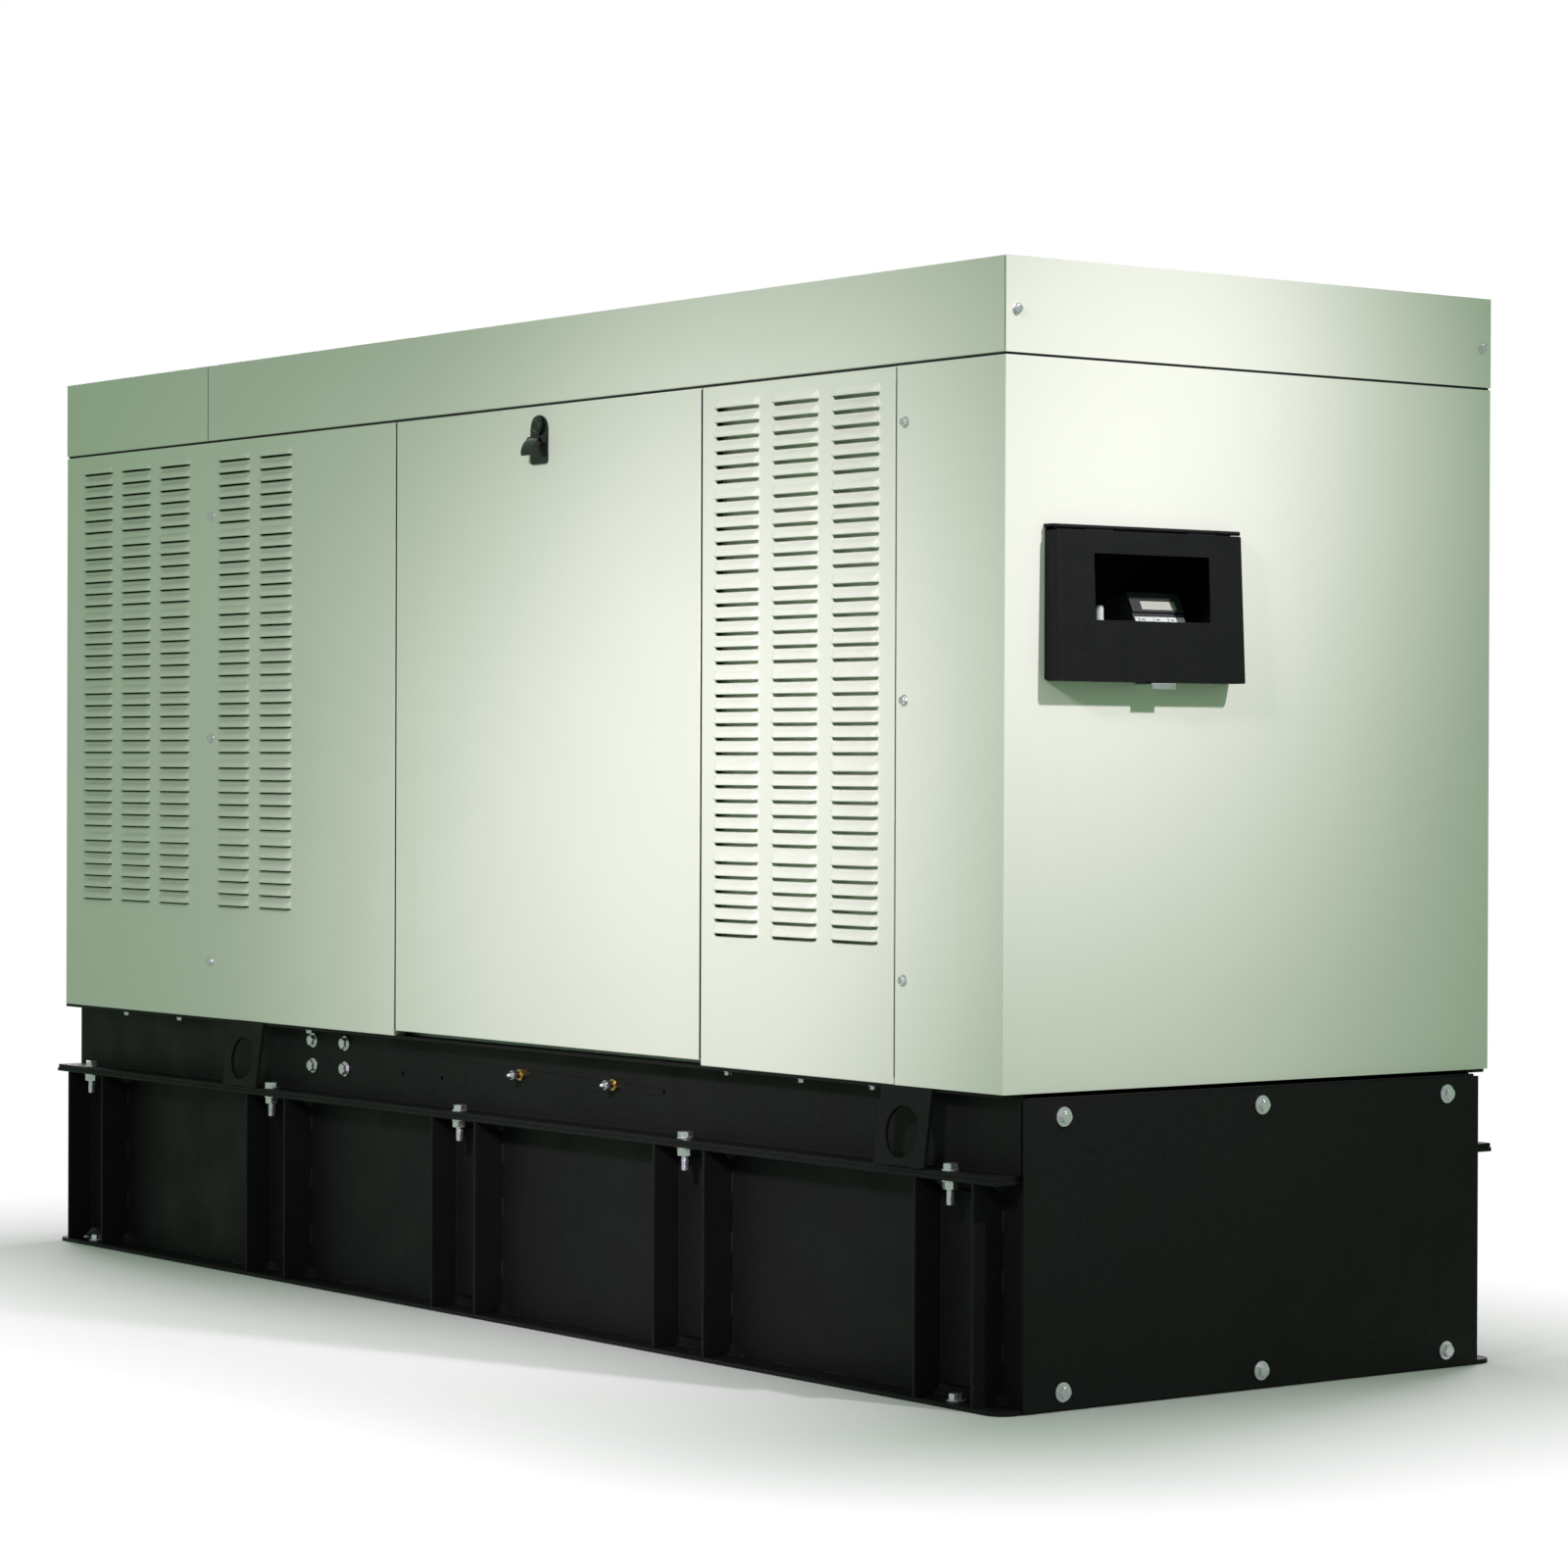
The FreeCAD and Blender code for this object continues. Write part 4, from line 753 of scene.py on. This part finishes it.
WASHER = 2.5 * MM                   # thickness
STIFFENER_X = (-1194, -577, -13, 577, 1173)
FLANGE_BOLT_Y = 441 * MM
FLANGE_TOP, FLANGE_UNDER = 309 * MM, 297 * MM
TIE_DOWN_Y, TIE_DOWN_Z = 430 * MM, 6 * MM
RAIL_FACE = 411 * MM
PLATE_BOLT_X = 1293.5 * MM
PLATE_BOLT_Y, PLATE_BOLT_Z = (-350, 1.5, 353), (25, 383.5)
MOUNT_BOLT_X, MOUNT_BOLT_Z = (-495, -396), (350, 391)
LEFT_SCREW_Z, RIGHT_SCREW_Z = (1249, 879.6, 508.3), (1295, 926, 554.5)
FOOT_SCREW_X = (-1091, -906, -700, -481, 661, 832, 991)
DRAIN_X, DRAIN_Z = (115, 361), 371 * MM


def bolt_head(bm, washer_radius, across_flats, height):
    """A hex head or nut on its washer. Sizes in millimetres."""
    return (washer(bm, washer_radius * MM, 0, WASHER)
            + hex_body(bm, across_flats * MM, WASHER, height * MM))


def make_flange_bolts():
    """Joining bolts with washers, nuts and stud ends, and the tie-down bolts on the bottom flange."""
    bm = bmesh.new()
    for x in STIFFENER_X:
        for side in (-1, 1):
            at = (x * MM, side * FLANGE_BOLT_Y)
            stand(bm, bolt_head(bm, 12, 19, 7.8), (*at, FLANGE_TOP), (0, 0, 1))
            nut = bolt_head(bm, 12, 19, 10) + threaded(bm, 6 * MM, 10 * MM, 23.5 * MM)
            stand(bm, nut, (*at, FLANGE_UNDER), (0, 0, -1))
    for x in (STIFFENER_X[0], STIFFENER_X[-1]):
        for side in (-1, 1):
            stand(bm, bolt_head(bm, 14, 17, 8), (x * MM, side * TIE_DOWN_Y, TIE_DOWN_Z), (0, 0, 1))
    turned_piece("flange_bolts_detail", bm, "base", "zinc", ("flange_bolts",))


def make_frame_bolts():
    """End plate bolts and engine mount bolts."""
    bm = bmesh.new()
    for y in PLATE_BOLT_Y:
        for z in PLATE_BOLT_Z:
            stand(bm, bolt_head(bm, 13, 16, 6.3), (PLATE_BOLT_X, y * MM, z * MM), (1, 0, 0))
    for x in MOUNT_BOLT_X:
        for z in MOUNT_BOLT_Z:
            for side in (-1, 1):
                stand(bm, bolt_head(bm, 12, 16, 6.8), (x * MM, side * RAIL_FACE, z * MM), (0, side, 0))
    turned_piece("frame_bolts_detail", bm, "base", "zinc", ("frame_bolts",))


def make_panel_screws():
    """Small flanged hex screws."""
    bm = bmesh.new()
    places = []
    side_heads = [(-772, z) for z in LEFT_SCREW_Z] + [(1077, z) for z in RIGHT_SCREW_Z]
    for side in (-1, 1):
        places += [((x * MM, side * HALF_WIDTH, z * MM), (0, side, 0)) for x, z in side_heads]
        places += [((x * MM, side * 427 * MM, 409.6 * MM), (0, 0, -1)) for x in FOOT_SCREW_X]
        places += [((-HALF_LENGTH, side * 424 * MM, z * MM), (-1, 0, 0)) for z in LEFT_SCREW_Z]
        places += [((end * HALF_LENGTH, side * 426 * MM, 1430.5 * MM), (end, 0, 0)) for end in (-1, 1)]
    for at, axis in places:
        parts = skirt(bm, 8 * MM, 0, 1.8 * MM, 5.4 * MM) + hex_body(bm, 10 * MM, 1.4 * MM, 4.9 * MM)
        stand(bm, parts, at, axis)
    turned_piece("panel_screws_detail", bm, "base", "zinc", ("panel_screws",))


def turned_piece(name, bm, body, slot, replaced=()):
    """A piece with crisp facets and corners, for turned, cast and hexagonal things."""
    piece = piece_from_bmesh(name, bm, body, slot, replaced)
    modifier(piece, "EDGE_SPLIT", split_angle=math.radians(32))


def make_drain_fittings():
    """Brass hex bodies on the rail, each with a steel coned cap."""
    body, caps = bmesh.new(), bmesh.new()
    for x in DRAIN_X:
        at = (x * MM, -RAIL_FACE, DRAIN_Z)
        parts = hex_body(body, 17 * MM, 0, 7 * MM) + lathe(body, in_mm((5.5, 6.9), (5.5, 16)))
        stand(body, parts, at, (0, -1, 0))
        parts = hex_body(caps, 13 * MM, 15.5 * MM, 5.4 * MM)
        parts += lathe(caps, in_mm((5.9, 20.5), (5.2, 22), (3.4, 25.5), (2.4, 27.5), (1.6, 28)))
        stand(caps, parts, at, (0, -1, 0))
    turned_piece("drain_fittings_brass", body, "base", "brass", ("drain_fittings",))
    turned_piece("drain_fittings_caps", caps, "base", "zinc")


# ---------------------------------------------------------------- welds, placed in millimetres
RIPPLE = 1.6 * MM
WALL_Y = 404
STIFFENER_HALF = 63
FLANGE_SEAMS = ((6, 1), (297, -1))  # height, and which way the bead faces
BRACKET_X = (-650.5, 1086.5)


def bead(bm, start, end, radius, up):
    """A stitch weld: a half-round bead with ripples, tapering at both ends. Sizes in millimetres."""
    start, end = (Vector([value * MM for value in point]) for point in (start, end))
    up = Vector(up).normalized()
    along = end - start
    side = along.normalized().cross(up)
    count = max(6, int(along.length / RIPPLE))
    rings = []
    for k in range(count + 1):
        t = k / count
        taper = math.sqrt(max(0.0, 1 - abs(2 * t - 1) ** 6))
        r = radius * MM * taper * (1 + 0.10 * math.sin(k * 2.1) + rng.uniform(-0.06, 0.06))
        middle = start + along * t
        rings.append([bm.verts.new(middle + side * math.cos(a) * r + up * math.sin(a) * r)
                      for a in (math.radians(d) for d in range(-30, 211, 40))])
    for near, far in zip(rings, rings[1:]):
        for k in range(len(near) - 1):
            bm.faces.new((near[k], near[k + 1], far[k + 1], far[k]))
        bm.faces.new((near[-1], near[0], far[0], far[-1]))
    bm.faces.new(rings[0])
    bm.faces.new(rings[-1][::-1])


def weld_run(bm, ends, pitch, stray, length, place, radius, up):
    """Stitches along X at an uneven pitch; place is their (y, z)."""
    x, last = ends
    while x < last:
        bead(bm, (x, *place), (x + length, *place), radius, up)
        x += pitch + rng.uniform(-stray, stray)


def make_welds():
    """Stitch welds where the stiffeners, flanges and lifting brackets meet."""
    bm = bmesh.new()
    for side in (-1, 1):
        wall = side * WALL_Y
        for x in STIFFENER_X:
            for edge in (-1, 1):
                corner = x + edge * STIFFENER_HALF
                seam = corner + edge * 1.2
                for z in (60, 150, 235):
                    z += rng.uniform(-8, 8)
                    bead(bm, (seam, wall, z), (seam, wall, z + 34), 3.0, (edge, side, 0))
                seam = corner - edge * 2.5
                for z, up in FLANGE_SEAMS:
                    bead(bm, (seam, side * 428, z), (seam, side * 450, z), 2.6, (edge, 0, up))
        for x in BRACKET_X:
            for start in (x - 44, x + 20):
                end = start + 24
                bead(bm, (start, side * 455.6, 310), (end, side * 455.6, 310), 3.2, (0, side, 0.8))
                bead(bm, (start, side * 441.8, 411.5), (end, side * 441.8, 411.5), 2.4, (0, side, 0.3))
        weld_run(bm, (-1240, 1250), 150, 12, 30, (side * 411, 309), 2.4, (0, side, 1))
        for z, up in FLANGE_SEAMS:
            weld_run(bm, (-1250, 1240), 118, 10, 46, (wall, z), 2.8, (0, side, up))
    piece_from_bmesh("weld_beads", bm, "base", "base_black")


# ---------------------------------------------------------------- control box details
FACE_SLOPE = math.radians(27.8)
FACE_TOP = Vector((1240 * MM, 0, 1070 * MM))
FACE_DOWN = Vector((math.sin(FACE_SLOPE), 0, -math.cos(FACE_SLOPE)))
FACE_OUT = Vector((math.cos(FACE_SLOPE), 0, math.sin(FACE_SLOPE)))
KEY_Y, KEY_HALF = [y * MM for y in (-186, -160, -134)], 6.6 * MM
LABEL_Y = (-198.5 * MM, -110.5 * MM)
LABEL_ROWS = (36.0, 37.4, 44.6, 62)  # millimetres down the face
LABEL_OUT = (0.02, 0.6)             # millimetres out of the face
MARK_ROWS, MARK_OUT, MARK_HALF = (40.4, 41.8), (1.8, 1.95), 3.2 * MM
FUSE_AT = (1228 * MM, -235 * MM, 1000 * MM)
LOCK_X, LOCK_Z = 207 * MM, 1341 * MM


def on_face(down, out, y):
    """A point on the controller's sloped face: millimetres down from its top edge and out of it."""
    return FACE_TOP + FACE_DOWN * down * MM + FACE_OUT * out * MM + Vector((0, y, 0))


def face_block(bm, down, out, y):
    """A block parallel to the controller's face, from ranges down, out and along Y."""
    corners = [bm.verts.new(on_face(d, o, v)) for d in down for o in out for v in y]
    for loop in ((0, 1, 3, 2), (4, 6, 7, 5), (0, 4, 5, 1), (2, 3, 7, 6), (0, 2, 6, 4), (1, 5, 7, 3)):
        bm.faces.new([corners[i] for i in loop])


def make_control_details():
    """Label strip round the keys, marks on the keys, lock shutters and a fuse holder in the recess."""
    bm = bmesh.new()
    left, right = LABEL_Y
    head, upper, lower, foot = LABEL_ROWS
    face_block(bm, (head, upper), LABEL_OUT, LABEL_Y)
    face_block(bm, (lower, foot), LABEL_OUT, LABEL_Y)
    edges = [left] + [y + side * KEY_HALF for y in KEY_Y for side in (-1, 1)] + [right]
    for y in zip(edges[::2], edges[1::2]):
        face_block(bm, (upper, lower), LABEL_OUT, y)
    piece_from_bmesh("controller_label", bm, "base", "key_silver", smooth=False)
    for number, y in enumerate(KEY_Y, 1):
        bm = bmesh.new()
        face_block(bm, MARK_ROWS, MARK_OUT, (y - MARK_HALF, y + MARK_HALF))
        piece_from_bmesh(f"key_mark_{number}", bm, f"key_{number}_body", "black_plastic", smooth=False)
    bm = bmesh.new()
    holder = lathe(bm, in_mm((5.2, 0), (5.6, 1), (5.6, 20), (6.6, 21), (6.6, 33), (5.8, 35), (5.8, 50),
                             (4.6, 53)), 28)
    bmesh.ops.translate(bm, verts=holder, vec=FUSE_AT)
    turned_piece("fuse_holder", bm, "base", "key_silver")
    for side, word in SIDES:
        bm = bmesh.new()
        face = abs(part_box(f"lock_cylinder_{word}")[0 if side < 0 else 1][1])
        shutter = lathe(bm, in_mm((8.2, 0), (8.2, 0.3), (7.6, 0.7), (2.4, 0.7), (2.2, 0.3)), 32)
        stand(bm, shutter, (LOCK_X, side * face, LOCK_Z), (0, side, 0))
        turned_piece(f"lock_shutter_{word}", bm, f"lock_{word}_body", "latch_black")


# ---------------------------------------------------------------- engine details
NECK_Y, LOWER_NECK_Y = -60 * MM, -165 * MM
TANK_NECK = 38 * MM                 # in from a radiator tank's end
COVER_SCREW_X, COVER_SCREW_PITCH = 40, 106
COVER_SCREW_Y = 46 * MM
FLUTE_TOP = 24 * MM
OIL_FILTER_AT = (-150 * MM, -165 * MM, 600 * MM)
POST_INSET, POST_SHIFT = 45 * MM, 30 * MM


def make_coolant_necks():
    """The cast necks that the coolant hoses would fit: on the head and on both radiator tanks."""
    neck = in_mm((18, 0), (18, 30), (20.5, 32), (20.5, 36), (18, 40), (15, 40.5), (14, 30))
    plinth = in_mm((30, 0), (30, 5), (28, 6.5), (19, 8))
    head_low, head_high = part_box("cylinder_head")
    tank_low, tank_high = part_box("radiator")
    tank_face = tank_high[0] - 1 * MM
    places = [((head_low[0] + 4 * MM, NECK_Y, (head_low[2] + head_high[2]) / 2), (-1, 0, 0)),
              ((tank_face, NECK_Y, tank_high[2] - TANK_NECK), (1, 0, 0)),
              ((tank_face, LOWER_NECK_Y, tank_low[2] + TANK_NECK), (1, 0, 0))]
    bm = bmesh.new()
    for at, axis in places:
        base = lathe(bm, plinth, 36)
        stand(bm, lathe(bm, neck, 36) + base, at, axis)
    turned_piece("coolant_necks", bm, "base", "cast_iron")


def make_engine_fittings():
    """Valve cover screws, oil filter and battery posts."""
    head_low, head_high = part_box("cylinder_head")
    bm = bmesh.new()
    for x in [head_low[0] + (COVER_SCREW_X + COVER_SCREW_PITCH * k) * MM for k in range(5)]:
        for y in (-COVER_SCREW_Y, COVER_SCREW_Y):
            parts = skirt(bm, 9 * MM, 0, 2 * MM, 6 * MM) + hex_body(bm, 10 * MM, 2 * MM, 6 * MM)
            stand(bm, parts, (x, y, head_high[2] - 0.5 * MM), (0, 0, 1))
    turned_piece("valve_cover_screws", bm, "base", "zinc")

    def fluted(radius, angle, height):
        return radius * (1 + 0.035 * math.cos(14 * angle)) if height < FLUTE_TOP else radius

    bm = bmesh.new()
    can = lathe(bm, in_mm((30, 0), (41, 4), (44, 12), (44, 23), (46, 25), (46, 112), (48, 114), (48, 118),
                          (40, 120)), 84, fluted)
    bmesh.ops.translate(bm, verts=can, vec=OIL_FILTER_AT)
    turned_piece("oil_filter", bm, "base", "base_black")
    bm = bmesh.new()
    low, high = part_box("battery")
    y = (low[1] + high[1]) / 2 - POST_SHIFT
    for x in (low[0] + POST_INSET, high[0] - POST_INSET):
        post = lathe(bm, in_mm((14, -2), (14, 2), (9, 3), (8.2, 16), (7.6, 17)), 32)
        bmesh.ops.translate(bm, verts=post, vec=(x, y, high[2]))
    turned_piece("battery_posts", bm, "base", "machined_steel")


# ---------------------------------------------------------------- CAD nodes that stay
EDGES = {                           # bevel widths in millimetres
    "tank_bottom_plate": 1.0, "tank_top_plate": 1.0, "tank_walls": 0.8, "tank_stiffeners": 1.2,
    "base_frame": 1.2, "lifting_brackets": 1.2, "roof_end_cap": 0.9, "latch_plate_front": 0.7,
    "latch_plate_back": 0.7, "latch_lever_front": 0.9, "latch_lever_back": 0.9, "control_box": 0.8,
    "control_lid": 1.2, "controller": 0.8, "controller_display": 0.2, "button_1": 0.6, "button_2": 0.6,
    "button_3": 0.6, "frame_posts": 0.8, "door_frames": 0.6, "battery": 3.0, "main_breaker": 2.0,
    "breaker_handle": 2.0, "engine_block": 5.0, "cylinder_head": 5.0, "radiator": 2.0, "fan_shroud": 0.6,
    "charging_alternator": 2.0, "generator_stator": 2.0, "isolators": 2.0, "muffler": 2.0, "air_cleaner": 3.0,
    "fuel_cap": 1.5, "radiator_cap": 1.0, "radiator_fan": 1.0, "crankshaft": 1.0, "alternator_pulley": 0.6,
    "lock_cylinder_front": 0.4, "lock_cylinder_back": 0.4, "lock_cam_front": 0.5, "lock_cam_back": 0.5,
}


def dress_cad_nodes():
    """Gives every CAD node its material and rounds the edges of those that show."""
    for entry in frame["record"]["subparts"]:
        node = frame["nodes"][entry["node"]]
        node.data.materials.clear()
        node.data.materials.append(LOOKS[entry["material_slot"]])
        width = EDGES.get(entry["node"])
        if width:
            soften_edges(node, width * MM, 3 if width > 1.5 else 2)


# ---------------------------------------------------------------- stage and light
FLOOR_RADIUS, FLOOR_FADE = 60, 0.75
AMBIENT, AMBIENT_STRENGTH = (0.7, 1.0, 0.7, 1), 0.4
KEY_AT = (4.4, 0.55, 3.75)
SIDE_AT = (2.6, -4.2, 2.9)
STUDIO_WHITE = (1.0, 0.85, 1.0)
KEY_POWER = 250
SIDE_POWER, SIDE_FILL = 900, 200
BACK_FILL, LEFT_FILL = 190, 110
KEY_CONE = dict(spot_size=math.radians(20), spot_blend=1.0, shadow_soft_size=0.10)
SIDE_CONE = dict(spot_size=math.radians(22), spot_blend=1.0, shadow_soft_size=0.35)


def add_light(name, kind, at, target, power, **settings):
    """A light at one place, turned to a target."""
    data = bpy.data.lights.new(name, kind)
    data.energy = power
    data.color = STUDIO_WHITE
    for key, value in settings.items():
        setattr(data, key, value)
    light = bpy.data.objects.new(name, data)
    bpy.context.scene.collection.objects.link(light)
    light.location = at
    light.rotation_euler = (Vector(target) - Vector(at)).to_track_quat("-Z", "Y").to_euler()


def make_floor():
    """A plain pale floor that fades with distance from the set into the white backdrop."""
    bm = bmesh.new()
    bmesh.ops.create_circle(bm, cap_ends=True, radius=FLOOR_RADIUS, segments=96)
    mesh = bpy.data.meshes.new("floor")
    bm.to_mesh(mesh)
    bm.free()
    floor = bpy.data.objects.new("floor", mesh)
    floor.location.z = -0.5 * MM
    bpy.context.scene.collection.objects.link(floor)
    look = Look("floor", Base_Color=(0.86, 0.86, 0.86, 1), Roughness=0.9, Specular_IOR_Level=0.1)
    point = look.place
    for operation, other in (("ABSOLUTE", None), ("SUBTRACT", (HALF_LENGTH, HALF_WIDTH, 0)),
                             ("MAXIMUM", (0, 0, 0)), ("LENGTH", None)):
        step = look.node("VectorMath", operation=operation)
        look.link(point, step.inputs[0])
        if other:
            step.inputs[1].default_value = other
        point = step.outputs["Value" if operation == "LENGTH" else "Vector"]
    mixed = look.node("MixShader")
    look.link(look.spread(point, 0, 1, 0.0, FLOOR_FADE), mixed.inputs["Fac"])
    look.link(look.shader.outputs["BSDF"], mixed.inputs[1])
    look.link(look.node("BsdfTransparent").outputs["BSDF"], mixed.inputs[2])
    look.link(mixed.outputs["Shader"], look.tree.nodes["Material Output"].inputs["Surface"])
    mesh.materials.append(look.material)


def make_world():
    """A white backdrop for the camera, and a dimmer surrounding light for everything else."""
    world = bpy.data.worlds.new("studio")
    world.use_nodes = True
    tree = world.node_tree
    ambient = tree.nodes["Background"]
    ambient.inputs["Color"].default_value = AMBIENT
    ambient.inputs["Strength"].default_value = AMBIENT_STRENGTH
    backdrop = tree.nodes.new("ShaderNodeBackground")
    backdrop.inputs["Color"].default_value = (1, 1, 1, 1)
    path = tree.nodes.new("ShaderNodeLightPath")
    choose = tree.nodes.new("ShaderNodeMixShader")
    tree.links.new(path.outputs["Is Camera Ray"], choose.inputs["Fac"])
    tree.links.new(ambient.outputs["Background"], choose.inputs[1])
    tree.links.new(backdrop.outputs["Background"], choose.inputs[2])
    tree.links.new(choose.outputs["Shader"], tree.nodes["World Output"].inputs["Surface"])
    bpy.context.scene.world = world


def make_lights():
    """A crisp key on the control end and a soft one on the long side, each built of overlapping cones."""
    for y in (-0.4, -0.1):
        for z in (0.9, 1.4):
            add_light("key", "SPOT", KEY_AT, (HALF_LENGTH, y, z), KEY_POWER, **KEY_CONE)
    add_light("side", "SPOT", SIDE_AT, (0.5, -HALF_WIDTH, 0.6), SIDE_POWER, **SIDE_CONE)
    for x, z in ((1.1, 1.0), (0.6, 1.1), (0.0, 1.0), (-1.0, 0.8)):
        add_light("side_fill", "SPOT", SIDE_AT, (x, -HALF_WIDTH, z), SIDE_FILL, **SIDE_CONE)
    add_light("back_fill", "AREA", (-1.5, 5.0, 3.0), (-0.2, 0.44, 0.9), BACK_FILL, size=2.5)
    add_light("left_fill", "AREA", (-5.2, 1.2, 2.6), (-1.3, 0.0, 0.9), LEFT_FILL, size=2.0)


def set_view():
    scene = bpy.context.scene
    scene.view_settings.view_transform = "Standard"
    scene.view_settings.look = "None"
    scene.view_settings.exposure = 0.0


# ---------------------------------------------------------------- everything
make_camera()
set_view()
dress_cad_nodes()
make_side_sheets()
make_discharge_end()
make_roof()
make_roof_details()
make_control_end()
make_sound_lining()
make_seam_shade_strips()
make_flange_bolts()
make_frame_bolts()
make_panel_screws()
make_drain_fittings()
make_welds()
make_control_details()
make_coolant_necks()
make_engine_fittings()
make_floor()
make_world()
make_lights()
